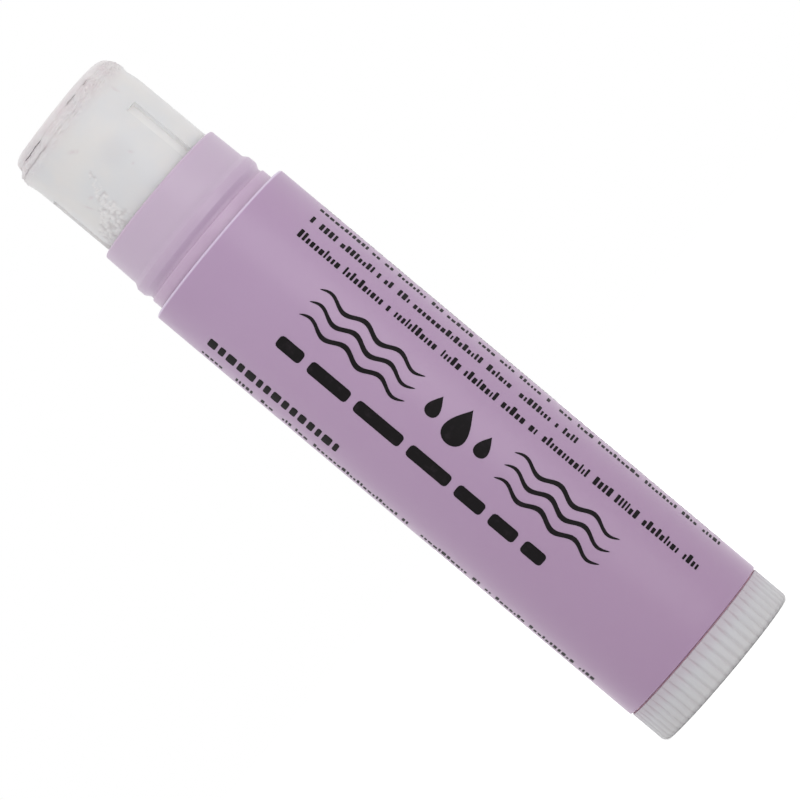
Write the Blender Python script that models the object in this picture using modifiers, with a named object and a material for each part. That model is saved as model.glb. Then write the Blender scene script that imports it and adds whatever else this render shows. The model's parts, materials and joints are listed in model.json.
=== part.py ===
"""A twist-up stain remover stick, standing on its dial.

A lilac barrel with a necked top holds a cast stick of clear soap. The soap's foot is cast
into an elevator cup, which rides on a threaded spindle. Spindle and dial are one moulding,
snapped into the barrel's foot. Three guide ribs in the bore keep the elevator from
turning, so the soap climbs as the dial turns.

Lengths are in metres. +Z runs along the axis from the dial to the soap's tip, and the
origin is the centre of the dial's underside. The stick is wound part of the way out.
"""

from math import ceil, cos, radians, sin, tau

import bmesh
import bpy
from mathutils import Matrix, Vector

# Stick of soap
STICK_DIAMETER = 0.0125
STICK_OUT = 0.0112
STICK_OUT_LOWEST = 0.0030
TIP_CROWN = 0.00015
BUTTON_INSET = 0.00035
BUTTON_EDGE = 0.00075
FLASH_DEPTH = 0.0024
FLASH_WIDTH = 0.0010
FLASH_HEIGHT = 0.00015
CHANNEL_HEADROOM = 0.0010
KEYWAY_HEADROOM = 0.0006
CAST_GAP = 0.0003

# Barrel
BARREL_LENGTH = 0.0514
BARREL_WALL = 0.0016
BARREL_EDGE = 0.00035
BORE_CLEARANCE = 0.00015
NECK_LENGTH = 0.0065
NECK_WALL = 0.0005
NECK_TAPER = 0.00006
RIM_EDGE_SHARE = 0.8

# Cap's snap bead and the ring at the neck's root
ROOT_RING_LENGTH = 0.0010
ROOT_RING_HEIGHT = 0.0002
ROOT_RING_EDGE = 0.0002
SHOULDER_GROOVE_WIDTH = 0.00015
SHOULDER_GROOVE_DEPTH = 0.00015
BEAD_GROOVE = 0.0004
BEAD_BACK = 0.0003
BEAD_CREST = 0.0008
BEAD_LEAD = 0.0006
BEAD_HEIGHT = 0.0003

# Guide ribs in the bore
GUIDE_RIBS = 3
GUIDE_RIB_TURN = -49.0
GUIDE_RIB_WIDTH = 0.0007
GUIDE_RIB_HEIGHT = 0.00045
GUIDE_RIB_BELOW_RIM = 0.0027
GUIDE_RIB_FOOT = 0.0003

# Dial and its snap shank
DIAL_HEIGHT = 0.0035
DIAL_INSET = 0.000125
DIAL_EDGE = 0.00045
DIAL_FLOOR = 0.0015
GRIP_GROOVES = 56
GRIP_GROOVE_DEPTH = 0.00028
GRIP_GROOVE_TOP = 0.0003
GRIP_GROOVE_POINT = 0.0007
SEAM_GAP = 0.00025
SHANK_LENGTH = 0.0039
SHANK_STEP = 0.0003
SHANK_WALL = 0.0012
SHANK_CLEARANCE = 0.00015
SHANK_LEAD = 0.0004
SNAP_ABOVE_DIAL = 0.0016
SNAP_LENGTH = 0.0006
SNAP_SLOPE = 0.0003
SNAP_HEIGHT = 0.0003
LEDGE_GAP = 0.0003

# Threaded spindle
CORE_DIAMETER = 0.0030
CORE_BELOW_RIM = 0.00405
CORE_POINT = 0.0005
CORE_ROOT = 0.0007
THREAD_LEAD = 0.0040
THREAD_RADIUS = 0.00055
THREAD_BELOW_POINT = 0.0006
THREAD_ABOVE_SHANK = 0.0002

# Elevator cup
CUP_HEIGHT = 0.0045
CUP_WALL = 0.0009
CUP_FLOOR = 0.0010
CUP_EDGE = 0.0002
CUP_CLEARANCE = 0.0002
CUP_ABOVE_LEDGE = 0.0003
NUT_WALL = 0.0010
NUT_CLEARANCE = 0.0002
CHANNEL_CLEARANCE = 0.0003
NOTCH_CLEARANCE = 0.0002
KEYWAY_CLEARANCE = 0.00012
WEBS = 3
WEB_WIDTH = 0.0008
WEB_HEIGHT = 0.0016

# How finely round shapes are divided, how far cutters run past, and how close points merge
BARREL_STEPS = 48
STICK_STEPS = 40
CUP_STEPS = 40
CORE_STEPS = 20
ARC_STEPS = 4
THREAD_STEPS = 16
THREAD_SIDE_STEPS = 1
NUT_SIDE_STEPS = 2
OVERRUN = 0.0005
JOIN_DEPTH = 0.0002
MERGE_DISTANCE = 0.000001
SMOOTH_ANGLE = 35.0

# Radii that follow from one another
STICK_RADIUS = STICK_DIAMETER / 2
BORE_RADIUS = STICK_RADIUS + BORE_CLEARANCE
BARREL_RADIUS = BORE_RADIUS + BARREL_WALL
NECK_RADIUS = BORE_RADIUS + NECK_WALL
DIAL_RADIUS = BARREL_RADIUS - DIAL_INSET
SHANK_RADIUS = BORE_RADIUS + SHANK_STEP
SOCKET_RADIUS = SHANK_RADIUS + SHANK_CLEARANCE
GUIDE_RIB_RADIUS = BORE_RADIUS - GUIDE_RIB_HEIGHT
CORE_RADIUS = CORE_DIAMETER / 2
NUT_BORE_RADIUS = CORE_RADIUS + NUT_CLEARANCE
NUT_GROOVE_RADIUS = THREAD_RADIUS + NUT_CLEARANCE
NUT_RADIUS = CORE_RADIUS + NUT_GROOVE_RADIUS + NUT_WALL
CHANNEL_RADIUS = CORE_RADIUS + THREAD_RADIUS + CHANNEL_CLEARANCE
CUP_RADIUS = BORE_RADIUS - CUP_CLEARANCE
CUP_INNER_RADIUS = CUP_RADIUS - CUP_WALL

# Heights that follow from one another, from the dial's underside
BARREL_FOOT = DIAL_HEIGHT + SEAM_GAP
SHOULDER_Z = BARREL_FOOT + BARREL_LENGTH
RIM_Z = SHOULDER_Z + NECK_LENGTH
SHANK_TOP = DIAL_HEIGHT + SHANK_LENGTH
LEDGE_Z = SHANK_TOP + LEDGE_GAP
CORE_TOP = RIM_Z - CORE_BELOW_RIM
GUIDE_RIB_TOP = RIM_Z - GUIDE_RIB_BELOW_RIM
LIFT_SHOWN = STICK_OUT - STICK_OUT_LOWEST
CARRIER_Z = LEDGE_Z + CUP_ABOVE_LEDGE + LIFT_SHOWN
TIP_Z = RIM_Z + STICK_OUT
CHANNEL_END = CORE_TOP + CHANNEL_HEADROOM + LIFT_SHOWN
KEYWAY_END = GUIDE_RIB_TOP + KEYWAY_HEADROOM + LIFT_SHOWN

LILAC = (176, 150, 180)
WHITE = (190, 190, 194)
NATURAL = (222, 220, 218)
CLEAR_SOAP = (218, 216, 215)
BYTE_MAX = 255


def linear(colour):
    """A screen colour's three bytes as linear light, with full alpha."""
    shares = [value / BYTE_MAX for value in colour]
    return [share / 12.92 if share < 0.04045 else ((share + 0.055) / 1.055) ** 2.4 for share in shares] + [1]


def plastic(name, colour, roughness, transmission=0.0):
    """A moulded or cast finish with one colour and no metal."""
    material = bpy.data.materials.new(name)
    material.use_nodes = True
    shader = material.node_tree.nodes["Principled BSDF"]
    shader.inputs["Base Color"].default_value = linear(colour)
    shader.inputs["Roughness"].default_value = roughness
    shader.inputs["Metallic"].default_value = 0
    shader.inputs["Transmission Weight"].default_value = transmission
    material.diffuse_color = linear(colour)
    return material


def clear_scene():
    """Removes what the scene holds."""
    for old in list(bpy.data.objects):
        bpy.data.objects.remove(old, do_unlink=True)


def new_collection(name):
    """A collection in the scene."""
    collection = bpy.data.collections.new(name)
    bpy.context.scene.collection.children.link(collection)
    return collection


def rounded(radius, height, size, start, end):
    """Points of an outline along an arc about (radius, height), with its angles in degrees."""
    turns = [radians(start + (end - start) * step / ARC_STEPS) for step in range(ARC_STEPS + 1)]
    return [(radius + size * cos(turn), height + size * sin(turn)) for turn in turns]


def turned(name, outline, steps, ring=False):
    """A turned solid from points (radius, height) that run down its outer side.

    The outline starts and ends on the axis, or closes on itself for a ring.
    """
    mesh = bpy.data.meshes.new(name)
    edges = [(point, point + 1) for point in range(len(outline) - 1)]
    if ring:
        edges.append((len(outline) - 1, 0))
    mesh.from_pydata([(radius, 0, height) for radius, height in outline], edges, [])
    solid = bpy.data.objects.new(name, mesh)
    screw = solid.modifiers.new("turning", "SCREW")
    screw.steps = steps
    screw.render_steps = steps
    screw.use_merge_vertices = True
    screw.merge_threshold = MERGE_DISTANCE
    return solid


def blocks(name, size, centre, turns):
    """One mesh of equal blocks, each with its centre turned about the axis by its angle."""
    bm = bmesh.new()
    for turn in turns:
        place = Matrix.Rotation(radians(turn), 4, "Z") @ Matrix.Translation(centre)
        bmesh.ops.create_cube(bm, size=1, matrix=place @ Matrix.Diagonal((*size, 1)))
    mesh = bpy.data.meshes.new(name)
    bm.to_mesh(mesh)
    bm.free()
    return bpy.data.objects.new(name, mesh)


def spread(count, first=0.0):
    """Equal turns about the axis, in degrees."""
    return [first + 360 * index / count for index in range(count)]


def thread_tube(name, radius, low, high, side_steps):
    """A round tube along the thread's left-handed helix, between two heights."""
    curve = bpy.data.curves.new(name, "CURVE")
    curve.dimensions = "3D"
    curve.bevel_depth = radius
    curve.bevel_resolution = side_steps
    curve.use_fill_caps = True
    steps = ceil((high - low) / THREAD_LEAD * THREAD_STEPS)
    spline = curve.splines.new("POLY")
    spline.points.add(steps)
    for index, point in enumerate(spline.points):
        height = low + (high - low) * index / steps
        turn = -tau * height / THREAD_LEAD
        point.co = (CORE_RADIUS * cos(turn), CORE_RADIUS * sin(turn), height, 1)
    return meshed(bpy.data.objects.new(name, curve))


def meshed(curved):
    """The mesh of a curve object with its caps welded on; the curve object is removed."""
    bpy.context.scene.collection.objects.link(curved)
    bpy.context.view_layer.update()
    shape = curved.evaluated_get(bpy.context.evaluated_depsgraph_get())
    mesh = bpy.data.meshes.new_from_object(shape)
    bm = bmesh.new()
    bm.from_mesh(mesh)
    bmesh.ops.remove_doubles(bm, verts=bm.verts, dist=MERGE_DISTANCE)
    bmesh.ops.recalc_face_normals(bm, faces=bm.faces)
    bm.to_mesh(mesh)
    bm.free()
    solid = bpy.data.objects.new(curved.name, mesh)
    solid.matrix_world = curved.matrix_world
    bpy.data.objects.remove(curved)
    return solid


def combine(solid, tool, operation, cutters):
    """Adds tool to a solid, or takes it away, and keeps it as a wire guide."""
    cutters.objects.link(tool)
    tool.hide_render = True
    tool.display_type = "WIRE"
    boolean = solid.modifiers.new(tool.name, "BOOLEAN")
    boolean.operation = operation
    boolean.solver = "EXACT"
    boolean.object = tool


def settle(solid):
    """Turns a solid's modifiers into its mesh and shades it smooth up to its edges."""
    bpy.context.view_layer.update()
    shape = solid.evaluated_get(bpy.context.evaluated_depsgraph_get())
    mesh = bpy.data.meshes.new_from_object(shape)
    solid.modifiers.clear()
    solid.data = mesh
    mesh.shade_smooth()
    mesh.set_sharp_from_angle(angle=radians(SMOOTH_ANGLE))


def neck_outline():
    """The neck's outer side, from the rim down to the groove round the root ring's foot."""
    edge = RIM_EDGE_SHARE * NECK_WALL
    top_radius = NECK_RADIUS - NECK_TAPER
    ring_top = SHOULDER_Z + ROOT_RING_LENGTH
    bead_foot = ring_top + ROOT_RING_EDGE + BEAD_GROOVE
    crest_low = bead_foot + BEAD_BACK
    crest_high = crest_low + BEAD_CREST
    crest_radius = NECK_RADIUS + BEAD_HEIGHT
    ring_radius = NECK_RADIUS + ROOT_RING_HEIGHT
    groove_radius = ring_radius + SHOULDER_GROOVE_WIDTH
    groove_floor = SHOULDER_Z - SHOULDER_GROOVE_DEPTH
    return rounded(top_radius - edge, RIM_Z - edge, edge, 90, 0) + [
        (NECK_RADIUS, crest_high + BEAD_LEAD),
        (crest_radius, crest_high),
        (crest_radius, crest_low),
        (NECK_RADIUS, bead_foot),
        (NECK_RADIUS, ring_top + ROOT_RING_EDGE),
        (ring_radius, ring_top),
        (ring_radius, groove_floor),
        (groove_radius, groove_floor),
        (groove_radius, SHOULDER_Z),
    ]


def socket_outline():
    """The socket in the barrel's foot, from its mouth up to the ledge at the bore."""
    groove_low = DIAL_HEIGHT + SNAP_ABOVE_DIAL - SHANK_CLEARANCE
    groove_high = groove_low + SNAP_LENGTH + 2 * (SNAP_SLOPE + SHANK_CLEARANCE)
    groove_radius = SOCKET_RADIUS + SNAP_HEIGHT
    return [
        (SOCKET_RADIUS, BARREL_FOOT),
        (SOCKET_RADIUS, groove_low),
        (groove_radius, groove_low + SNAP_SLOPE),
        (groove_radius, groove_high - SNAP_SLOPE),
        (SOCKET_RADIUS, groove_high),
        (SOCKET_RADIUS, LEDGE_Z),
        (BORE_RADIUS, LEDGE_Z),
        (BORE_RADIUS, RIM_Z),
    ]


def make_barrel(cutters):
    """The barrel: body, shoulder, neck, the dial's socket and the guide ribs in one moulding."""
    corner = BARREL_RADIUS - BARREL_EDGE
    outline = neck_outline()
    outline += rounded(corner, SHOULDER_Z - BARREL_EDGE, BARREL_EDGE, 90, 0)
    outline += rounded(corner, BARREL_FOOT + BARREL_EDGE, BARREL_EDGE, 0, -90)
    outline += socket_outline()
    barrel = turned("barrel", outline, BARREL_STEPS, ring=True)
    rib_low = LEDGE_Z + GUIDE_RIB_FOOT
    rib_depth = GUIDE_RIB_HEIGHT + JOIN_DEPTH
    rib_size = (rib_depth, GUIDE_RIB_WIDTH, GUIDE_RIB_TOP - rib_low)
    rib_centre = (GUIDE_RIB_RADIUS + rib_depth / 2, 0, (GUIDE_RIB_TOP + rib_low) / 2)
    ribs = blocks("guide_ribs", rib_size, rib_centre, spread(GUIDE_RIBS, GUIDE_RIB_TURN))
    combine(barrel, ribs, "UNION", cutters)
    return barrel


def dial_outline():
    """The dial with its hollow shank, from the pocket's floor over the shank to the underside."""
    pocket_radius = SHANK_RADIUS - SHANK_WALL
    snap_low = DIAL_HEIGHT + SNAP_ABOVE_DIAL
    snap_high = snap_low + SNAP_LENGTH + 2 * SNAP_SLOPE
    snap_radius = SHANK_RADIUS + SNAP_HEIGHT
    corner = DIAL_RADIUS - DIAL_EDGE
    return [
        (0, DIAL_FLOOR),
        (pocket_radius, DIAL_FLOOR),
        (pocket_radius, SHANK_TOP),
        (SHANK_RADIUS - SHANK_LEAD, SHANK_TOP),
        (SHANK_RADIUS, SHANK_TOP - SHANK_LEAD),
        (SHANK_RADIUS, snap_high),
        (snap_radius, snap_high - SNAP_SLOPE),
        (snap_radius, snap_low + SNAP_SLOPE),
        (SHANK_RADIUS, snap_low),
        (SHANK_RADIUS, DIAL_HEIGHT),
        (DIAL_RADIUS, DIAL_HEIGHT),
    ] + rounded(corner, DIAL_EDGE, DIAL_EDGE, 0, -90) + [(0, 0)]


def core_outline():
    """The spindle's core, from its bevelled top to the flared root in the pocket's floor."""
    return [
        (0, CORE_TOP),
        (CORE_RADIUS - CORE_POINT, CORE_TOP),
        (CORE_RADIUS, CORE_TOP - CORE_POINT),
        (CORE_RADIUS, DIAL_FLOOR + CORE_ROOT),
        (CORE_RADIUS + CORE_ROOT, DIAL_FLOOR),
        (CORE_RADIUS + CORE_ROOT, DIAL_FLOOR - JOIN_DEPTH),
        (0, DIAL_FLOOR - JOIN_DEPTH),
    ]


def grip_cutter():
    """The V grooves round the dial: square bars, corner inwards, that end in points at the top."""
    size = GRIP_GROOVE_DEPTH + OVERRUN
    low = -OVERRUN
    high = DIAL_HEIGHT - GRIP_GROOVE_TOP - GRIP_GROOVE_POINT
    bm = bmesh.new()
    for turn in spread(GRIP_GROOVES, 180 / GRIP_GROOVES):
        place = Matrix.Rotation(radians(turn), 4, "Z")
        place @= Matrix.Translation((DIAL_RADIUS + OVERRUN, 0, (low + high) / 2))
        bmesh.ops.create_cone(
            bm, cap_ends=True, segments=4, radius1=size, radius2=size, depth=high - low, matrix=place
        )
    tops = [face for face in bm.faces if face.normal.z > face.normal.xy.length]
    points = bmesh.ops.poke(bm, faces=tops)["verts"]
    point_height = GRIP_GROOVE_POINT * size / GRIP_GROOVE_DEPTH
    bmesh.ops.translate(bm, verts=points, vec=(0, 0, point_height))
    mesh = bpy.data.meshes.new("grip_grooves")
    bm.to_mesh(mesh)
    bm.free()
    return bpy.data.objects.new("grip_grooves", mesh)


def make_dial_spindle(cutters):
    """The dial, its snap shank and the threaded spindle in one moulding."""
    dial = turned("dial_spindle", dial_outline(), GRIP_GROOVES)
    combine(dial, grip_cutter(), "DIFFERENCE", cutters)
    combine(dial, turned("spindle_core", core_outline(), CORE_STEPS), "UNION", cutters)
    thread_high = CORE_TOP - CORE_POINT - THREAD_BELOW_POINT - THREAD_RADIUS
    thread_low = SHANK_TOP + THREAD_ABOVE_SHANK
    thread = thread_tube("thread", THREAD_RADIUS, thread_low, thread_high, THREAD_SIDE_STEPS)
    combine(dial, thread, "UNION", cutters)
    return dial


def web_blocks(name, reach, clearance):
    """The webs across the cup's floor, or, with a clearance, the slots that they leave in the soap."""
    inner = NUT_RADIUS - reach
    outer = CUP_INNER_RADIUS + reach
    low = CARRIER_Z + CUP_FLOOR - reach
    high = CARRIER_Z + CUP_FLOOR + WEB_HEIGHT + clearance
    size = (outer - inner, WEB_WIDTH + 2 * clearance, high - low)
    centre = ((inner + outer) / 2, 0, (low + high) / 2)
    return blocks(name, size, centre, spread(WEBS, GUIDE_RIB_TURN + 180 / WEBS))


def make_elevator(cutters):
    """The elevator: a cup with a nut at its centre, webs across its floor and rib notches."""
    top = CARRIER_Z + CUP_HEIGHT
    floor = CARRIER_Z + CUP_FLOOR
    outline = [
        (CUP_RADIUS - CUP_EDGE, top),
        (CUP_RADIUS, top - CUP_EDGE),
        (CUP_RADIUS, CARRIER_Z + CUP_EDGE),
        (CUP_RADIUS - CUP_EDGE, CARRIER_Z),
        (NUT_BORE_RADIUS, CARRIER_Z),
        (NUT_BORE_RADIUS, top),
        (NUT_RADIUS, top),
        (NUT_RADIUS, floor),
        (CUP_INNER_RADIUS, floor),
        (CUP_INNER_RADIUS, top),
    ]
    elevator = turned("elevator", outline, CUP_STEPS, ring=True)
    combine(elevator, web_blocks("webs", JOIN_DEPTH, 0), "UNION", cutters)
    notch_depth = CUP_RADIUS - GUIDE_RIB_RADIUS + NOTCH_CLEARANCE + OVERRUN
    notch_size = (notch_depth, GUIDE_RIB_WIDTH + 2 * NOTCH_CLEARANCE, CUP_HEIGHT + 2 * OVERRUN)
    notch_centre = (GUIDE_RIB_RADIUS - NOTCH_CLEARANCE + notch_depth / 2, 0, (CARRIER_Z + top) / 2)
    notches = blocks("rib_notches", notch_size, notch_centre, spread(GUIDE_RIBS, GUIDE_RIB_TURN))
    combine(elevator, notches, "DIFFERENCE", cutters)
    low = CARRIER_Z - OVERRUN - THREAD_LEAD / 2
    high = top + OVERRUN + THREAD_LEAD / 2
    groove = thread_tube("nut_groove", NUT_GROOVE_RADIUS, low, high, NUT_SIDE_STEPS)
    combine(elevator, groove, "DIFFERENCE", cutters)
    return elevator


def stick_outline():
    """The soap's outline, from the tip over the button and flash to its foot and channel."""
    button_radius = STICK_RADIUS - BUTTON_INSET
    corner = button_radius - BUTTON_EDGE
    corner_z = TIP_Z - TIP_CROWN - BUTTON_EDGE
    flash_radius = STICK_RADIUS + FLASH_HEIGHT
    flash_z = TIP_Z - FLASH_DEPTH
    cup_top = CARRIER_Z + CUP_HEIGHT + CAST_GAP
    foot = CARRIER_Z + CUP_FLOOR + CAST_GAP
    foot_radius = CUP_INNER_RADIUS - CAST_GAP
    foot_bore = NUT_RADIUS + CAST_GAP
    return [(0, TIP_Z)] + rounded(corner, corner_z, BUTTON_EDGE, 90, 0) + [
        (button_radius, flash_z + FLASH_WIDTH / 2),
        (flash_radius, flash_z + FLASH_WIDTH / 4),
        (flash_radius, flash_z - FLASH_WIDTH / 4),
        (STICK_RADIUS, flash_z - FLASH_WIDTH / 2),
        (STICK_RADIUS, cup_top),
        (foot_radius, cup_top),
        (foot_radius, foot),
        (foot_bore, foot),
        (foot_bore, cup_top),
        (CHANNEL_RADIUS, cup_top),
        (CHANNEL_RADIUS, CHANNEL_END - CHANNEL_CLEARANCE),
        (CHANNEL_RADIUS - CHANNEL_CLEARANCE, CHANNEL_END),
        (0, CHANNEL_END),
    ]


def make_soap_stick(cutters):
    """The cast stick of soap, with the grooves that the guide ribs and the cup leave in it."""
    stick = turned("soap_stick", stick_outline(), STICK_STEPS)
    low = CARRIER_Z - OVERRUN
    inner = GUIDE_RIB_RADIUS - KEYWAY_CLEARANCE
    depth = STICK_RADIUS - inner + OVERRUN
    size = (depth, GUIDE_RIB_WIDTH + 2 * KEYWAY_CLEARANCE, KEYWAY_END - low)
    centre = (inner + depth / 2, 0, (KEYWAY_END + low) / 2)
    keyways = blocks("keyways", size, centre, spread(GUIDE_RIBS, GUIDE_RIB_TURN))
    combine(stick, keyways, "DIFFERENCE", cutters)
    combine(stick, web_blocks("web_slots", OVERRUN, CAST_GAP), "DIFFERENCE", cutters)
    return stick


def ride(solid, carrier):
    """Hangs a solid on its body's empty and leaves it where it is."""
    solid.parent = carrier
    solid.matrix_parent_inverse = Matrix.Translation(-Vector(carrier.location))


def main():
    """Builds the four pieces, each on the empty of the body that it belongs to."""
    clear_scene()
    parts = new_collection("stain_remover_pen")
    cutters = new_collection("cutters")
    lilac = plastic("lilac_polypropylene", LILAC, 0.3)
    white = plastic("white_polypropylene", WHITE, 0.45)
    natural = plastic("natural_polypropylene", NATURAL, 0.4)
    soap = plastic("clear_soap", CLEAR_SOAP, 0.15, 0.35)
    pieces = [
        (make_barrel, lilac, "barrel_body", BARREL_FOOT),
        (make_dial_spindle, white, "dial_body", 0),
        (make_elevator, natural, "carrier_body", CARRIER_Z),
        (make_soap_stick, soap, "carrier_body", CARRIER_Z),
    ]
    for make, material, body, height in pieces:
        carrier = bpy.data.objects.get(body)
        if carrier is None:
            carrier = bpy.data.objects.new(body, None)
            carrier.location = (0, 0, height)
            parts.objects.link(carrier)
        solid = make(cutters)
        parts.objects.link(solid)
        settle(solid)
        solid.data.materials.clear()
        solid.data.materials.append(material)
        ride(solid, carrier)
    print("lead", THREAD_LEAD, "lift shown", round(LIFT_SHOWN, 6), "carrier", round(CARRIER_Z, 6))


main()
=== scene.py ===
# %% [markdown]
# # A twist-up stick of stain remover soap
#
# This lesson dresses a small object from the laundry shelf: a stick of clear soap in a lilac
# tube, which winds out of the tube when the white dial at its foot is turned. The working
# model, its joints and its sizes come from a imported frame. Each step below makes one visible
# piece or one finish, and says how the real one is made.

# %% Load the working model
import json
from math import asin, cos, degrees, pi, radians, sin, tau

import bmesh
import bpy
import numpy as np
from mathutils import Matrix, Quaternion, Vector, noise


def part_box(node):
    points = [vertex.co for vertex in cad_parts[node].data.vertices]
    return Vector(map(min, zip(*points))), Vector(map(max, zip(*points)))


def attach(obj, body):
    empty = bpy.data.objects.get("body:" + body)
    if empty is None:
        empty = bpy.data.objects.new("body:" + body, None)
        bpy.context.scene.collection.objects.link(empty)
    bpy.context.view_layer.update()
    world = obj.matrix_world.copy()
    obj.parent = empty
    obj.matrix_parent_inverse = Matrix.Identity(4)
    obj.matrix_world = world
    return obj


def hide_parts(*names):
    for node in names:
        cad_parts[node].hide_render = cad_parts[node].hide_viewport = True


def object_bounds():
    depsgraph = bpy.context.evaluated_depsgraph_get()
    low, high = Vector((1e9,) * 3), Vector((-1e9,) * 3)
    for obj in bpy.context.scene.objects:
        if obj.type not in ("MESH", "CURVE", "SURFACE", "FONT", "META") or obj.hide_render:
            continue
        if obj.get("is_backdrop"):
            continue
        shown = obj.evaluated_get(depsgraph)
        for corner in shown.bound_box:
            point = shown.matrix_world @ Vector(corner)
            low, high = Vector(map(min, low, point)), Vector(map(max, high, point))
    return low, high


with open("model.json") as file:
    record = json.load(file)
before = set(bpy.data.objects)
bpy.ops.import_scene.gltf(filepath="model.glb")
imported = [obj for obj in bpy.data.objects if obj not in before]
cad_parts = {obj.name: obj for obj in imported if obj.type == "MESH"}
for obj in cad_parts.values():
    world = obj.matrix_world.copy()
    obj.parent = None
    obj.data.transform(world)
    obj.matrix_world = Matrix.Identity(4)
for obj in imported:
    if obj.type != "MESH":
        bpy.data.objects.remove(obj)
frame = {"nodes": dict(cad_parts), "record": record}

cad_low, cad_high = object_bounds()

# %% [markdown]
# ## Sizes
#
# The frame already knows how tall and how wide everything is, so the sizes that other pieces
# must meet are measured from it. The stick stands on its dial with its axis on Z, and the side
# that the photograph shows faces -Y. Lengths are in metres.

# %% Measure the frame
seats = {mount["name"]: mount["pos_m"] for mount in frame["record"]["mounts"]}
barrel_low, barrel_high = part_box("barrel")
soap_low, soap_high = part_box("soap_stick")

TUBE_FOOT_DROP = 0.00006
BARREL_FOOT = barrel_low.z - TUBE_FOOT_DROP
BARREL_RADIUS = barrel_high.x
RIM = barrel_high.z
SHOULDER = seats["cap_seat"][2]
SPINDLE_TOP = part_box("dial_spindle")[1].z
TIP = soap_high.z
SOAP_FOOT = soap_low.z
CUP_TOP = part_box("elevator")[1].z

print(f"tube {BARREL_RADIUS * 2000:.2f} mm wide, from {BARREL_FOOT * 1000:.2f} to {RIM * 1000:.2f} mm")
print(f"shoulder at {SHOULDER * 1000:.2f} mm, tip of the soap at {TIP * 1000:.2f} mm")

# %% [markdown]
# ## Camera
#
# The photograph was taken from far away with the stick lying across the picture. The stick
# stands here, so the camera is rolled instead: it looks level at the stick from the front and
# leans until the tip points to the upper left.

# %% Place the camera
CAMERA_DISTANCE = 0.48
CAMERA_HEIGHT = 0.029
AIM = Vector((-0.00030, 0, 0.0352))
AXIS_TURN = 50.0
PICTURE_WIDTH = 0.0666
SENSOR_WIDTH = 36.0

camera_data = bpy.data.cameras.new("photo_camera")
camera_data.sensor_width = SENSOR_WIDTH
camera = bpy.data.objects.new("photo_camera", camera_data)
bpy.context.scene.collection.objects.link(camera)
bpy.context.scene.camera = camera
camera.location = (AIM.x, -CAMERA_DISTANCE, CAMERA_HEIGHT)
sight = AIM - camera.location
camera_data.lens = SENSOR_WIDTH * sight.length / PICTURE_WIDTH
camera_data.clip_start = CAMERA_DISTANCE / 100
roll = Quaternion((0, 0, 1), radians(-AXIS_TURN))
camera.rotation_mode = "QUATERNION"
camera.rotation_quaternion = sight.to_track_quat("-Z", "Y") @ roll
print(f"lens {camera_data.lens:.0f} mm, looking {degrees(asin(sight.z / sight.length)):.1f} degrees up")

# %% [markdown]
# ## Writing node trees as sums
#
# Finishes and repeated shapes are both node trees. A tree is easier to read as arithmetic, so
# `Signal` wraps one socket and turns + - * / on it into Math nodes, and `Tree.node` adds any
# other node: first its settings, then the values or links of its sockets.

# %% Signals and trees
class Signal:
    """A value on its way through a node tree."""

    def __init__(self, tree, socket):
        self.tree = tree
        self.socket = socket

    def out(self, name):
        """Another output of the node that this signal leaves."""
        return Signal(self.tree, self.socket.node.outputs[name])

    def math(self, operation, *others):
        return self.tree.math(operation, self, *others)

    def __add__(self, other):
        return self.math("ADD", other)

    def __sub__(self, other):
        return self.math("SUBTRACT", other)

    def __rsub__(self, other):
        return self.tree.math("SUBTRACT", other, self)

    def __mul__(self, other):
        return self.math("MULTIPLY", other)

    def __truediv__(self, other):
        return self.math("DIVIDE", other)

    def __rtruediv__(self, other):
        return self.tree.math("DIVIDE", other, self)

    def __pow__(self, other):
        return self.math("POWER", other)

    __radd__ = __add__
    __rmul__ = __mul__

    def clamped(self):
        """Held between 0 and 1."""
        return self.math("MINIMUM", 1.0).math("MAXIMUM", 0.0)

    def rise(self, low, high):
        """0 below low, 1 above high, and a smooth step between."""
        return self.tree.node(
            "ShaderNodeMapRange",
            {"interpolation_type": "SMOOTHSTEP"},
            {"Value": self, "From Min": low, "From Max": high},
        )


class Tree:
    """A node tree, with one method that adds and wires any node."""

    def __init__(self, tree):
        self.tree = tree

    def node(self, kind, settings=None, sockets=None, output=0):
        node = self.tree.nodes.new(kind)
        for name, value in (settings or {}).items():
            if name == "stops":
                self.set_stops(node.color_ramp, value)
            else:
                setattr(node, name, value)
        for name, value in (sockets or {}).items():
            for item in value if isinstance(value, list) else [value]:
                if isinstance(item, Signal):
                    self.tree.links.new(item.socket, node.inputs[name])
                else:
                    node.inputs[name].default_value = item
        return Signal(self, node.outputs[output]) if len(node.outputs) else node

    def set_stops(self, ramp, stops):
        while len(ramp.elements) < len(stops):
            ramp.elements.new(1)
        for element, (place, colour) in zip(ramp.elements, stops):
            element.position = place
            element.color = colour

    def math(self, operation, *values):
        return self.node("ShaderNodeMath", {"operation": operation}, dict(enumerate(values)))

    def mix(self, share, first, second):
        """A blend of two colours."""
        return self.node("ShaderNodeMix", {"data_type": "RGBA"}, {0: share, 6: first, 7: second}, 2)

    def vector(self, x, y, z):
        return self.node("ShaderNodeCombineXYZ", None, {"X": x, "Y": y, "Z": z})


# %% [markdown]
# ## Studio light
#
# The photograph is a cut-out on white, lit softly from everywhere, with one wide soft box to
# the right of the camera that leaves a pale band down the tube. White paper all round is
# modelled by the world, whose strength of 1 is plain white and lights the stick so evenly that
# colours render as they are written. The floor adds a little glow where it is seen.

# %% Light the studio
def shown_white(tree):
    """1 for rays from the camera, a reflection or clear material, and 0 for the others."""
    rays = tree.node("ShaderNodeLightPath")
    seen = rays.out("Is Camera Ray") + rays.out("Is Glossy Ray") + rays.out("Is Transmission Ray")
    return seen.math("MINIMUM", 1.0)


PAPER_WHITE = (1, 1, 1, 1)
PAPER_LIGHT = 1.0

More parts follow.
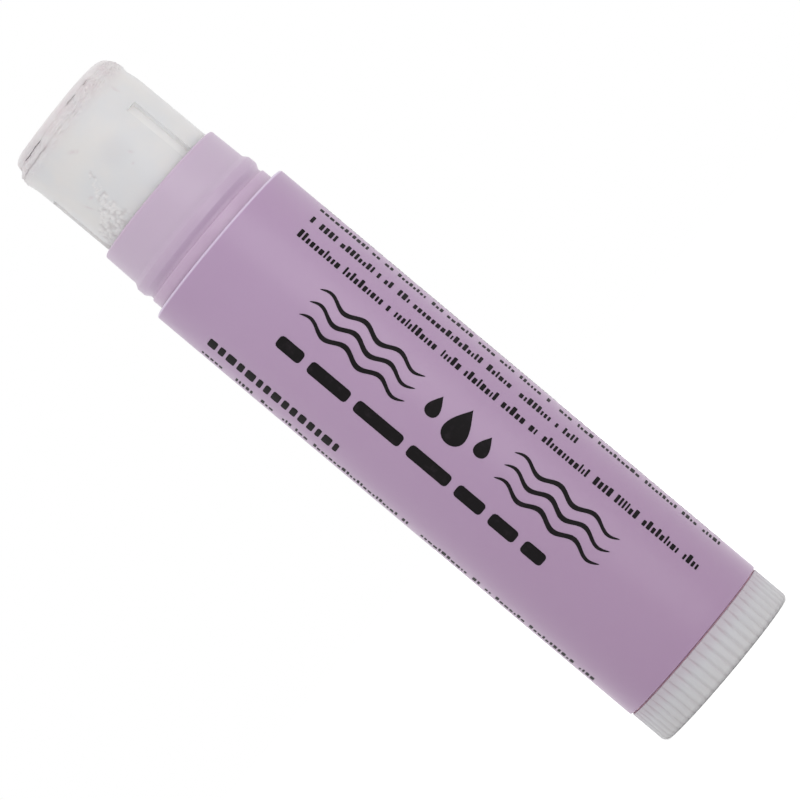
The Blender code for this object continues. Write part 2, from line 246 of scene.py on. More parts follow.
world = bpy.data.worlds.new("white_studio")
bpy.context.scene.world = world
world.use_nodes = True
paper = Tree(world.node_tree)
world.node_tree.nodes.clear()
glow = paper.node("ShaderNodeBackground", None, {"Color": PAPER_WHITE, "Strength": PAPER_LIGHT})
paper.node("ShaderNodeOutputWorld", None, {"Surface": glow})

BOX_DISTANCE = 0.5
BOX_AZIMUTH = 31.0
BOX_WIDTH = 0.38
BOX_HEIGHT = 0.14
BOX_RADIANCE = 2.2

lamp = bpy.data.lights.new("soft_box", "AREA")
lamp.shape = "RECTANGLE"
lamp.size = BOX_WIDTH
lamp.size_y = BOX_HEIGHT
lamp.energy = BOX_RADIANCE * pi * BOX_WIDTH * BOX_HEIGHT
soft_box = bpy.data.objects.new("soft_box", lamp)
bpy.context.scene.collection.objects.link(soft_box)
box_turn = radians(BOX_AZIMUTH)
half_way_up = Vector((0, 0, TIP / 2))
soft_box.location = half_way_up + Vector((sin(box_turn), -cos(box_turn), 0)) * BOX_DISTANCE
soft_box.rotation_euler = (half_way_up - soft_box.location).to_track_quat("-Z", "Y").to_euler()

view = bpy.context.scene.view_settings
view.view_transform = "Standard"
print(f"soft box of {lamp.energy:.2f} W at {BOX_AZIMUTH:.0f} degrees to the right of the camera")

# %% Lay the floor
FLOOR_REACH = 3.0
FLOOR_SHADE = 0.8
FLOOR_GRAIN = 0.01
FLOOR_GLOW = 0.5


def white_floor():
    """Paper that shows white to the camera, and still takes the stick's soft shadow."""
    material = bpy.data.materials.new("white_paper")
    material.use_nodes = True
    tree = Tree(material.node_tree)
    material.node_tree.nodes.clear()
    grain = tree.node("ShaderNodeTexNoise", None, {"Scale": 400.0})
    shade = tree.mix(grain, (FLOOR_SHADE,) * 3 + (1,), (FLOOR_SHADE + FLOOR_GRAIN,) * 3 + (1,))
    matte = tree.node("ShaderNodeBsdfDiffuse", None, {"Color": shade})
    lift = tree.node("ShaderNodeEmission", None, {"Strength": FLOOR_GLOW * shown_white(tree)})
    both = tree.node("ShaderNodeAddShader", None, {0: matte, 1: lift})
    tree.node("ShaderNodeOutputMaterial", None, {"Surface": both})
    return material


floor_mesh = bpy.data.meshes.new("paper_floor")
corners = [(-1, -1, 0), (1, -1, 0), (1, 1, 0), (-1, 1, 0)]
floor_mesh.from_pydata([Vector(corner) * FLOOR_REACH for corner in corners], [], [(0, 1, 2, 3)])
floor_mesh.materials.append(white_floor())
paper_floor = bpy.data.objects.new("paper_floor", floor_mesh)
bpy.context.scene.collection.objects.link(paper_floor)
paper_floor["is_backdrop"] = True
print("floor laid")

# %% [markdown]
# ## Skins turned round the axis
#
# Tube, dial and soap are all round, so each is a skin: rings of points from top to bottom,
# with a column of points for every angle. Radius and height are whole grids, so one ring can
# bulge, crack or carry a groove where the real piece does. A ring without radius closes the
# skin at the axis.

# %% Turn skins
POINT_REACH = 1e-8
EDGE_ANGLE = radians(38)


def arc(radius, height, size, start, end, steps):
    """Outline points round (radius, height), between two angles in degrees."""
    turns = np.radians(np.linspace(start, end, steps + 1))
    return [(radius + size * cos(turn), height + size * sin(turn)) for turn in turns]


def stretch(first, last, steps):
    """Outline points from first to just before last, in even steps."""
    shares = np.arange(steps) / steps
    return [tuple(np.array(first) + share * (np.array(last) - np.array(first))) for share in shares]


def link(name, mesh, *materials):
    """A piece with its mesh and its materials, in the scene."""
    for material in materials:
        mesh.materials.append(material)
    piece = bpy.data.objects.new(name, mesh)
    bpy.context.scene.collection.objects.link(piece)
    return piece


def skin(name, radius, height, angles, lean=0.0, closed=False, **traits):
    """A skin from grids of radius and height, with each further grid kept as an attribute."""
    rings, columns = radius.shape
    angles = np.broadcast_to(angles, radius.shape)
    points = np.stack([radius * np.cos(angles) + lean, radius * np.sin(angles), height], axis=-1)
    index = np.arange(rings * columns).reshape(rings, columns)
    if closed:
        index = np.vstack([index, index[:1]])
    beside = np.roll(index, -1, axis=1)
    faces = np.stack([index[:-1], index[1:], beside[1:], beside[:-1]], axis=-1).reshape(-1, 4)
    mesh = bpy.data.meshes.new(name)
    mesh.from_pydata(points.reshape(-1, 3).tolist(), [], faces.tolist())
    for trait, values in traits.items():
        layer = mesh.attributes.new(trait, "FLOAT", "POINT")
        layer.data.foreach_set("value", np.asarray(values, np.float32).ravel())
    bm = bmesh.new()
    bm.from_mesh(mesh)
    bmesh.ops.remove_doubles(bm, verts=bm.verts, dist=POINT_REACH)
    bm.to_mesh(mesh)
    bm.free()
    mesh.shade_smooth()
    mesh.set_sharp_from_angle(angle=EDGE_ANGLE)
    return mesh


def spun(outline, columns):
    """Grids of radius and height from one outline, which runs down the outer side."""
    rings = np.array(outline)
    return np.repeat(rings[:, :1], columns, axis=1), np.repeat(rings[:, 1:], columns, axis=1)


def even_angles(count):
    return np.arange(count) * tau / count


def triangles(mesh):
    return sum(len(face.vertices) - 2 for face in mesh.polygons)


# %% [markdown]
# ## The tube
#
# The tube is one polypropylene moulding: a plain body, a shoulder on which the cap lands, and a
# neck with a snap bead and a ring at its root. Three ribs run up the bore and keep the soap
# from turning. Its outline is drawn once with rounded edges and turned, and the points of the
# bore are then pulled in where the ribs stand. The body is a touch slimmer than the frame's,
# which leaves room for the ink, and its foot reaches a touch lower, which narrows the seam
# above the dial. In the photograph the neck stands a little to the left of the body's axis, so
# its outside leans that way here.

# %% Make the tube
INK_ROOM = 0.000008
BORE_RADIUS = 0.0064
SOCKET_RADIUS = 0.00685
SOCKET_TOP = 0.0077
SOCKET_GROOVE = 0.0003
SOCKET_GROOVE_LOW = 0.00495
SOCKET_GROOVE_HIGH = 0.00645
TUBE_EDGE = 0.00022
FOOT_EDGE = 0.00012

NECK_RADIUS = 0.0069
NECK_TOP_RADIUS = 0.00684
RIM_EDGE = 0.0002
RING_HEIGHT = 0.0010
RING_RADIUS = 0.0071
RING_EDGE = 0.00015
ROOT_GROOVE = 0.00015
NECK_LEAN = -0.00008
BEAD_MIDDLE = 0.0023
BEAD_REACH = 0.0009
BEAD_SWELL = 0.0003
BEAD_FULLNESS = 1.35
BEAD_POWER = 1.3
BEAD_STEPS = 25
BEAD_TOP = SHOULDER + BEAD_MIDDLE + BEAD_REACH

RIB_TURNS = [-49.0, 71.0, -169.0]
RIB_HALF_WIDTH = 0.00035
RIB_DEPTH = 0.00045
RIB_TOP = 0.05895
RIB_FOOT = 0.0080
TUBE_COLUMNS = 384


def bead_outline():
    """The snap bead: a low swell round the neck, flat on its crest."""
    low = SHOULDER + BEAD_MIDDLE - BEAD_REACH
    points = []
    for share in np.linspace(-1, 1, BEAD_STEPS):
        swell = min(1.0, BEAD_FULLNESS * cos(share * pi / 2) ** BEAD_POWER)
        height = BEAD_TOP + (low - BEAD_TOP) * (share + 1) / 2
        points.append((NECK_RADIUS + BEAD_SWELL * swell, height))
    return points


def tube_outline():
    """From the rim down the outside, and up through the dial's socket and the bore."""
    body = BARREL_RADIUS - INK_ROOM
    ring_top = SHOULDER + RING_HEIGHT
    groove_outer = RING_RADIUS + ROOT_GROOVE
    groove_floor = SHOULDER - ROOT_GROOVE
    socket_deep = SOCKET_RADIUS + SOCKET_GROOVE
    return (
        arc(BORE_RADIUS + RIM_EDGE, RIM - RIM_EDGE, RIM_EDGE, 180, 90, 5)
        + arc(NECK_TOP_RADIUS - RIM_EDGE, RIM - RIM_EDGE, RIM_EDGE, 90, 0, 6)
        + stretch((NECK_TOP_RADIUS, RIM - 2 * RIM_EDGE), (NECK_RADIUS, BEAD_TOP), 8)
        + bead_outline()
        + arc(RING_RADIUS - RING_EDGE, ring_top, RING_EDGE, 90, 0, 4)
        + stretch((RING_RADIUS, ring_top - RING_EDGE), (RING_RADIUS, groove_floor), 4)
        + arc((RING_RADIUS + groove_outer) / 2, groove_floor, ROOT_GROOVE / 2, 180, 360, 5)
        + [(groove_outer, SHOULDER)]
        + arc(body - TUBE_EDGE, SHOULDER - TUBE_EDGE, TUBE_EDGE, 90, 0, 8)
        + stretch((body, SHOULDER - 2 * TUBE_EDGE), (body, BARREL_FOOT + FOOT_EDGE), 40)
        + arc(body - FOOT_EDGE, BARREL_FOOT + FOOT_EDGE, FOOT_EDGE, 0, -90, 6)
        + [
            (SOCKET_RADIUS, BARREL_FOOT),
            (SOCKET_RADIUS, SOCKET_GROOVE_LOW),
            (socket_deep, SOCKET_GROOVE_LOW + SOCKET_GROOVE),
            (socket_deep, SOCKET_GROOVE_HIGH - SOCKET_GROOVE),
            (SOCKET_RADIUS, SOCKET_GROOVE_HIGH),
            (SOCKET_RADIUS, SOCKET_TOP),
            (BORE_RADIUS, SOCKET_TOP),
            (BORE_RADIUS, RIB_FOOT),
            (BORE_RADIUS, RIB_FOOT + RIM_EDGE),
            (BORE_RADIUS, RIB_TOP - RIM_EDGE),
            (BORE_RADIUS, RIB_TOP),
        ]
    )


def off_centre(angles, turn):
    """How far round each angle lies from a turn in degrees, in radians either way."""
    return (angles - radians(turn) + pi) % tau - pi


def make_tube():
    angles = even_angles(TUBE_COLUMNS)
    radius, height = spun(tube_outline(), TUBE_COLUMNS)
    in_bore = (radius <= BORE_RADIUS + POINT_REACH) & (height > RIB_FOOT) & (height < RIB_TOP)
    for turn in RIB_TURNS:
        across = np.abs(off_centre(angles, turn)) * BORE_RADIUS < RIB_HALF_WIDTH
        radius = np.where(in_bore & across, BORE_RADIUS - RIB_DEPTH, radius)
    lean = np.where((height > SHOULDER) & (radius > BORE_RADIUS + RIM_EDGE / 2), NECK_LEAN, 0.0)
    return skin("tube", radius, height, angles, lean=lean, closed=True)


tube_mesh = make_tube()
print(f"tube: {triangles(tube_mesh)} triangles, bore {BORE_RADIUS * 2000:.1f} mm, {len(RIB_TURNS)} ribs")

# %% [markdown]
# ## Lilac polypropylene
#
# The tube is dyed through and lets a little light in, so it is shaded with some subsurface
# scattering. The dye is faintly cloudy. Light and shade are also painted into its colour:
# painted light makes the thin neck paler, for the soap that shines through it, and brightens
# the ring at the neck's root; painted shade darkens the tube towards its foot; and a painted
# highlight runs along the shoulder's edge. Its moulded skin is smooth with a very fine ripple.

# %% Mix the lilac
BYTE_MAX = 255
POLYPROPYLENE_IOR = 1.49
FINE_RELIEF = 0.00001


def linear(red, green, blue):
    """A screen colour as linear light, with full alpha."""
    shares = [value / BYTE_MAX for value in (red, green, blue)]
    light = [share / 12.92 if share < 0.04045 else ((share + 0.055) / 1.055) ** 2.4 for share in shares]
    return (*light, 1)


def new_finish(name):
    """An empty material, as the tree that its nodes go in."""
    material = bpy.data.materials.new(name)
    material.use_nodes = True
    material.node_tree.nodes.clear()
    return material, Tree(material.node_tree)


def place(tree):
    """Where a point lies on the stick, with its height as a signal of its own."""
    spot = tree.node("ShaderNodeTexCoord").out("Object")
    return spot, tree.node("ShaderNodeSeparateXYZ", None, {"Vector": spot}).out("Z")


def mottle(tree, spot, scale, detail=2.0, roughness=0.5):
    """Soft noise from 0 to 1."""
    sockets = {"Vector": spot, "Scale": scale, "Detail": detail, "Roughness": roughness}
    return tree.node("ShaderNodeTexNoise", None, sockets)


def surface(tree, sockets):
    """The plastic or soap itself, and the way out of the tree."""
    body = tree.node("ShaderNodeBsdfPrincipled", None, sockets)
    tree.node("ShaderNodeOutputMaterial", None, {"Surface": body})


def bumped(tree, height, strength, distance=FINE_RELIEF):
    """Relief too fine to model, which only bends the light."""
    sockets = {"Height": height, "Strength": strength, "Distance": distance}
    return tree.node("ShaderNodeBump", None, sockets)


def kept(tree, name):
    """A value that a skin keeps for its finish."""
    return tree.node("ShaderNodeAttribute", {"attribute_name": name}).out("Fac")


LILAC = linear(171, 144, 176)
LILAC_CLOUD = linear(176, 150, 181)
LILAC_BLUSH = linear(174, 143, 173)
# painted shade: the tube is painted darker towards its foot
LILAC_FOOT_SHADE = linear(163, 134, 164)
FOOT_SHADE_REACH = 0.050
# painted light: the neck is painted paler, for the soap that shines through its thin wall
LILAC_NECK_PAINTED_LIGHT = linear(192, 173, 194)
NECK_LIGHT_REACH = 0.0036
# painted light: brightens the ring at the neck's root, where shade falls
LILAC_ROOT_PAINTED_LIGHT = linear(194, 170, 194)
# painted highlight along the shoulder's outer edge
LILAC_EDGE_HIGHLIGHT = linear(205, 190, 213)
SHOULDER_BLEND = 0.0002
ROOT_END = 0.0009
ROOT_FADED = 0.0016
EDGE_FOOT = 0.00026
EDGE_TOP = 0.00012
EDGE_INNER = 0.0003
EDGE_OUTER = 0.0005


def lilac_finish():
    material, tree = new_finish("lilac_polypropylene")
    spot, height = place(tree)
    across, back = height.out("X"), height.out("Y")
    radius = (across * across + back * back).math("SQRT")
    cloud = mottle(tree, spot, 160.0, 3.0)
    blush = mottle(tree, spot, 55.0)
    # painted shade: darker towards the tube's foot
    foot = 1 - height.rise(BARREL_FOOT, BARREL_FOOT + FOOT_SHADE_REACH)
    # painted light: the neck paler, for the soap that shines through it
    neck = height.rise(SHOULDER - SHOULDER_BLEND, SHOULDER + NECK_LIGHT_REACH)
    body = tree.mix(cloud, LILAC, LILAC_CLOUD)
    body = tree.mix(blush * 0.6, body, LILAC_BLUSH)
    body = tree.mix(foot * 0.8, body, LILAC_FOOT_SHADE)
    body = tree.mix(neck, body, LILAC_NECK_PAINTED_LIGHT)
    # painted light on the ring at the neck's root, against the shade there
    above_shoulder = height.rise(SHOULDER - SHOULDER_BLEND, SHOULDER)
    under_bead = 1 - height.rise(SHOULDER + ROOT_END, SHOULDER + ROOT_FADED)
    body = tree.mix(above_shoulder * under_bead * 0.9, body, LILAC_ROOT_PAINTED_LIGHT)
    # painted highlight: a pale band round the shoulder's outer edge
    edge_highlight_band = height.rise(SHOULDER - EDGE_FOOT, SHOULDER - EDGE_TOP)
    outside = radius.rise(RING_RADIUS + EDGE_INNER, RING_RADIUS + EDGE_OUTER)
    body = tree.mix(edge_highlight_band * outside, body, LILAC_EDGE_HIGHLIGHT)
    ripple = mottle(tree, spot, 900.0)
    surface(tree, {
        "Base Color": body,
        "Roughness": 0.29 + 0.08 * mottle(tree, spot, 300.0),
        "Normal": bumped(tree, ripple, 0.25),
        "IOR": POLYPROPYLENE_IOR,
        "Subsurface Weight": 0.25,
        "Subsurface Radius": (1.0, 0.75, 1.0),
        "Subsurface Scale": 0.0012,
    })
    return material


tube = link("tube", tube_mesh, lilac_finish())
print("tube finished in", tube_mesh.materials[0].name)

# %% [markdown]
# ## Recipes for repeated shapes
#
# Printing, grip grooves and a screw thread all repeat, so Geometry Nodes make them. `Recipe`
# starts a tree with named inputs, and `cook` runs it on a mesh: it sets the inputs, takes the
# finished mesh and removes the modifier. Each tree ends in Realize Instances and Set Material,
# so that what comes out is a plain mesh with its finish.

# %% Recipes
WELD_REACH = 10 * POINT_REACH


class Recipe(Tree):
    """A Geometry Nodes tree with named inputs: a material, numbers and counts."""

    def __init__(self, name, numbers, counts):
        super().__init__(bpy.data.node_groups.new(name, "GeometryNodeTree"))
        face = self.tree.interface
        face.new_socket("Geometry", in_out="INPUT", socket_type="NodeSocketGeometry")
        face.new_socket("Geometry", in_out="OUTPUT", socket_type="NodeSocketGeometry")
        self.slots = {}
        for labels, kind in [("Material", "Material"), (numbers, "Float"), (counts, "Int")]:
            for label in labels.split():
                self.slots[label] = face.new_socket(label, in_out="INPUT", socket_type="NodeSocket" + kind)
        self.start = self.node("NodeGroupInput")

    def given(self, label):
        return self.start.out(label)

    def finish(self, shape):
        """Makes instances real, gives the material and ends the tree."""
        real = self.node("GeometryNodeRealizeInstances", None, {"Geometry": shape})
        sockets = {"Geometry": real, "Material": self.given("Material")}
        dyed = self.node("GeometryNodeSetMaterial", None, sockets)
        self.node("NodeGroupOutput", None, {"Geometry": dyed})

    def trait(self, name):
        """A named attribute as a signal."""
        return self.node("GeometryNodeInputNamedAttribute", {"data_type": "FLOAT"}, {"Name": name})

    def keep(self, shape, name, value):
        """Stores a value on every point."""
        settings = {"data_type": "FLOAT", "domain": "POINT"}
        sockets = {"Geometry": shape, "Name": name, "Value": value}
        return self.node("GeometryNodeStoreNamedAttribute", settings, sockets)

    def spot(self):
        """The x, y and z of a point."""
        parts = self.node("ShaderNodeSeparateXYZ", None, {"Vector": self.node("GeometryNodeInputPosition")})
        return parts.out("X"), parts.out("Y"), parts.out("Z")

    def put(self, shape, x, y, z):
        """Moves every point to its place."""
        sockets = {"Geometry": shape, "Position": self.vector(x, y, z)}
        return self.node("GeometryNodeSetPosition", None, sockets)

    def grid(self, across, along):
        """A unit grid of points from -0.5 to 0.5."""
        sockets = {"Size X": 1.0, "Size Y": 1.0, "Vertices X": across, "Vertices Y": along}
        return self.node("GeometryNodeMeshGrid", None, sockets)

    def chance(self, seed):
        """A random number from 0 to 1 for every point."""
        sockets = {2: 0.0, 3: 1.0, 8: seed}
        return self.node("FunctionNodeRandomValue", {"data_type": "FLOAT"}, sockets, 1)

    def weld(self, shape):
        """Joins points that lie on one another."""
        sockets = {"Geometry": shape, "Distance": WELD_REACH}
        return self.node("GeometryNodeMergeByDistance", None, sockets)


def cook(recipe, name, material, mesh=None, **values):
    """Runs a recipe on a mesh and returns the plain mesh that comes out."""
    raw = bpy.data.objects.new(name, mesh or bpy.data.meshes.new(name))
    bpy.context.scene.collection.objects.link(raw)
    modifier = raw.modifiers.new(name, "NODES")
    modifier.node_group = recipe.tree
    for label, value in {"Material": material, **values}.items():
        modifier[recipe.slots[label].identifier] = value
    bpy.context.view_layer.update()
    cooked = bpy.data.meshes.new_from_object(raw.evaluated_get(bpy.context.evaluated_depsgraph_get()))
    raw.modifiers.clear()
    bpy.data.objects.remove(raw)
    cooked.name = name
    return cooked


print("recipes ready")

# %% [markdown]
# ## The print
#
# Black ink is printed on the tube: small lines all round it, and one larger design on the
# front. The lines here are plain bars of random size, and the design is drops and ripples of
# water, which suits a stain remover and says nothing. Each mark is drawn flat, as a grid of
# points that runs along the tube, and one last step thickens the flat mark into a thin closed
# film and wraps it round the wall.

# %% Write the ink's recipes
FILM_SUNK = 0.000006
FILM_TOP = 0.000006


def wrapped(recipe, flat):
    """Thickens flat marks and wraps them on the wall; x runs down from the shoulder, y round the tube."""
    lift = recipe.vector(0.0, 0.0, FILM_SUNK + FILM_TOP)
    sockets = {"Mesh": flat, "Offset": lift, "Offset Scale": 1.0, "Individual": False}
    grown = recipe.node("GeometryNodeExtrudeMesh", None, sockets)
    under = recipe.node("GeometryNodeFlipFaces", None, {"Mesh": flat})
    film = recipe.weld(recipe.node("GeometryNodeJoinGeometry", None, {"Geometry": [grown, under]}))
    along, round_wall, rise = recipe.spot()
    radius = recipe.given("Radius") - FILM_SUNK + rise
    turn = round_wall / recipe.given("Radius")
    height = recipe.given("Shoulder") - along
    recipe.finish(recipe.put(film, radius * turn.math("SINE"), -1.0 * radius * turn.math("COSINE"), height))


def stamped(recipe, points, mark):
    """One real copy of a mark on every point."""
    copies = recipe.node("GeometryNodeInstanceOnPoints", None, {"Points": points, "Instance": mark})
    return recipe.node("GeometryNodeRealizeInstances", None, {"Geometry": copies})


def line_recipe():
    """A line of rounded blocks of random widths and heights, with some left out as spaces."""
    recipe = Recipe(
        "printed_line",
        "Radius Shoulder Start End Base Narrowest Widest Lowest Tallest Gap Corner Spaces",
        "Blocks Seed",
    )
    given = recipe.given
    tall = recipe.chance(given("Seed") + 1).rise(0.55, 0.6)
    points = recipe.node("GeometryNodePoints", None, {"Count": given("Blocks")})
    width = given("Narrowest") + recipe.chance(given("Seed")) * (given("Widest") - given("Narrowest"))
    points = recipe.keep(points, "width", width)
    points = recipe.keep(points, "height", given("Lowest") + tall * (given("Tallest") - given("Lowest")))
    steps = {0: recipe.trait("width") + given("Gap")}
    before = recipe.node("GeometryNodeAccumulateField", {"data_type": "FLOAT"}, steps).out("Trailing")
    points = recipe.keep(points, "start", given("Start") + before)
    beyond = (recipe.trait("start") + recipe.trait("width")).math("GREATER_THAN", given("End"))
    spared = recipe.chance(given("Seed") + 2).math("LESS_THAN", given("Spaces"))
    left_out = {"Geometry": points, "Selection": beyond.math("MAXIMUM", spared)}
    points = recipe.node("GeometryNodeDeleteGeometry", None, left_out)
    block = recipe.grid(2, 8)
    x, y, z = recipe.spot()
    block = recipe.keep(recipe.keep(block, "side", x + 0.5), "up", (y * pi).math("SINE"))
    blocks = stamped(recipe, points, block)
    up, half, corner = recipe.trait("up"), recipe.trait("height") / 2.0, given("Corner")
    into_corner = (up.math("ABSOLUTE") * half - half + corner).math("MAXIMUM", 0.0)
    inset = corner - (corner * corner - into_corner * into_corner).math("MAXIMUM", 0.0).math("SQRT")
    along = recipe.trait("start") + inset + recipe.trait("side") * (recipe.trait("width") - 2.0 * inset)
    wrapped(recipe, recipe.put(blocks, along, given("Base") + half + up * half, 0.0))
    return recipe


def ripple_recipe():
    """Parallel wavy strokes that taper to both ends."""
    recipe = Recipe("ripples", "Radius Shoulder Spacing Start Length Place Swing Wave Thickness", "Strokes")
    given = recipe.given
    points = recipe.node("GeometryNodePoints", None, {"Count": given("Strokes")})
    points = recipe.keep(points, "stroke", recipe.node("GeometryNodeInputIndex"))
    stroke = recipe.grid(61, 3)
    x, y, z = recipe.spot()
    stroke = recipe.keep(recipe.keep(stroke, "share", x + 0.5), "side", y)
    strokes = stamped(recipe, points, stroke)
    share = recipe.trait("share")
    run = share * given("Length")
    swing = (run / given("Wave") * tau).math("SINE") * given("Swing")
    taper = (share * (1.0 - share) * 4.0 + 0.004) ** 0.4
    middle = given("Place") + recipe.trait("stroke") * given("Spacing") + swing
    across = middle + recipe.trait("side") * taper * given("Thickness")
    wrapped(recipe, recipe.put(strokes, given("Start") + run, across, 0.0))
    return recipe


def drop_recipe():
    """A row of water drops, the largest in the middle."""
    recipe = Recipe("drops", "Radius Shoulder Spacing Start Place Largest Smallest Plumpness", "Drops")
    given = recipe.given
    points = recipe.node("GeometryNodePoints", None, {"Count": given("Drops")})
    points = recipe.keep(points, "number", recipe.node("GeometryNodeInputIndex"))
    drop = recipe.grid(7, 33)
    x, y, z = recipe.spot()
    drop = recipe.keep(recipe.keep(drop, "share", x + 0.5), "turn", (0.5 - y) * tau)
    drops = stamped(recipe, points, drop)
    share, turn, number = recipe.trait("share"), recipe.trait("turn"), recipe.trait("number")
    middle = (given("Drops") - 1.0) / 2.0
    aside = (number - middle).math("ABSOLUTE") / middle
    size = (given("Largest") + aside * (given("Smallest") - given("Largest"))) * share
    waist = turn.math("SINE") * (turn / 2.0).math("SINE").math("ABSOLUTE") ** 1.4
    along = given("Start") + number * given("Spacing") + waist * size * given("Plumpness")
    across = given("Place") + turn.math("COSINE") * size / 2.0
    wrapped(recipe, recipe.weld(recipe.put(drops, along, across, 0.0)))
    return recipe


lines, ripples, drops = line_recipe(), ripple_recipe(), drop_recipe()
print("ink recipes:", [recipe.tree.name for recipe in (lines, ripples, drops)])

# %% Mix the ink
INK = linear(17, 14, 16)
INK_WORN = linear(34, 29, 33)


def ink_finish():
    """Matt black screen ink, a little uneven where the squeegee left less of it."""
    material, tree = new_finish("screen_ink")
    spot = place(tree)[0]
    thin = mottle(tree, spot, 1400.0, 3.0).rise(0.5, 0.8)
    surface(tree, {
        "Base Color": tree.mix(thin, INK, INK_WORN),
        "Roughness": 0.5 + 0.15 * thin,
        "Normal": bumped(tree, thin, 0.3),
        "IOR": 1.2,
    })
    return material


ink = ink_finish()
print("ink mixed")

# %% [markdown]
# The layout keeps the look of a busy label: lines of small blocks where a label has its small
# print, a heading of larger blocks, and drops between two groups of ripples in the middle.
# Places are lengths down from the shoulder and round the wall from the front.

# %% Print the tube
INK_RADIUS = BARREL_RADIUS - INK_ROOM
PRINT_START = 0.0048
PRINT_END = 0.0480
SEED_STEP = 10
SMALL_BLOCK = {
    "Narrowest": 0.00016, "Widest": 0.00042, "Lowest": 0.00062, "Tallest": 0.00095, "Gap": 0.00015,
    "Corner": 0.00007, "Spaces": 0.16, "Blocks": 160, "Start": PRINT_START,
}
HEADING = {
    "Narrowest": 0.00045, "Widest": 0.00095, "Lowest": 0.00120, "Tallest": 0.00120, "Gap": 0.00028,
    "Corner": 0.00015, "Spaces": 0.0, "Blocks": 30, "Start": PRINT_START, "End": 0.0194,
    "Base": -0.0086, "Seed": 501,
}
BOLD_LINE = {
    "Narrowest": 0.0022, "Widest": 0.0058, "Lowest": 0.00120, "Tallest": 0.00120, "Gap": 0.00075,
    "Corner": 0.00035, "Spaces": 0.0, "Blocks": 20, "Start": 0.0092, "End": 0.0412,
    "Base": -0.0036, "Seed": 702,
}
FRONT_LINES = [(0.0096, PRINT_END), (0.0071, 0.0337), (0.0049, PRINT_END), (-0.0110, PRINT_END)]
BACK_LINES = 11
BACK_START = 0.0119
LINE_PITCH = 0.0023
SHORT_LINE = 4
SHORT_END = 0.0262
RIPPLE_STARTS = [0.0092, 0.0300]
RIPPLE_SIZES = {
    "Strokes": 3, "Spacing": 0.00135, "Length": 0.0112, "Place": -0.0002, "Swing": 0.00032,
    "Wave": 0.0037, "Thickness": 0.00046,
}
DROP_SIZES = {
    "Drops": 3, "Spacing": 0.0026, "Start": 0.0226, "Place": 0.0012, "Largest": 0.0036,
    "Smallest": 0.0021, "Plumpness": 0.44,
}


def joined(name, meshes):
    """One mesh from several."""
    bm = bmesh.new()
    for mesh in meshes:
        bm.from_mesh(mesh)
    whole = bpy.data.meshes.new(name)
    bm.to_mesh(whole)
    bm.free()
    return whole


def printed(recipe, **values):
    return cook(recipe, "mark", ink, Radius=INK_RADIUS, Shoulder=SHOULDER, **values)


def small_line(seed, base, end):
    return printed(lines, End=end, Base=base, Seed=SEED_STEP * seed, **SMALL_BLOCK)


places = list(FRONT_LINES)
for number in range(BACK_LINES):
    end = SHORT_END if number % SHORT_LINE == SHORT_LINE - 1 else PRINT_END
    places.append((BACK_START + number * LINE_PITCH, end))
marks = [small_line(seed, base, end) for seed, (base, end) in enumerate(places)]
marks += [printed(lines, **HEADING), printed(lines, **BOLD_LINE)]
marks += [printed(ripples, Start=start, **RIPPLE_SIZES) for start in RIPPLE_STARTS]
marks.append(printed(drops, **DROP_SIZES))
ink_film = link("ink_film", joined("ink_film", marks), ink)
print(f"print: {len(marks)} lines and marks, {triangles(ink_film.data)} triangles")

# %% [markdown]
# ## The dial
#
# Dial, shank and spindle are one white moulding. The dial's rim is cut by narrow grip grooves
# that run out at the bottom and end in points under the seam. The blank is turned like the
# tube, and a Geometry Nodes tree then presses the grooves in: the angle round the axis tells
# each point how far it is from the nearest groove, and a groove's width shrinks to nothing
# towards its point. The tree also keeps how deep a point lies, for the finish. The dial's top
# stands a touch higher than the frame's, so that the seam is as narrow as the photograph's.

# %% Turn the dial's blank
DIAL_TOP = 0.00358
DIAL_RADIUS = 0.007875
DIAL_EDGE = 0.00048
DIAL_TOP_EDGE = 0.00012
COLLAR_RADIUS = 0.00762
COLLAR_RISE = 0.00007
DIAL_FLOOR = 0.0015
SHANK_TOP = 0.0074
SHANK_RADIUS = 0.0067
SHANK_LEAD = 0.0004
SNAP_LOW = 0.0051
SNAP_SLOPE = 0.0003
SNAP_LENGTH = 0.0006
POCKET_RADIUS = 0.0055
GRIP_GROOVES = 56
COLUMNS_A_GROOVE = 12


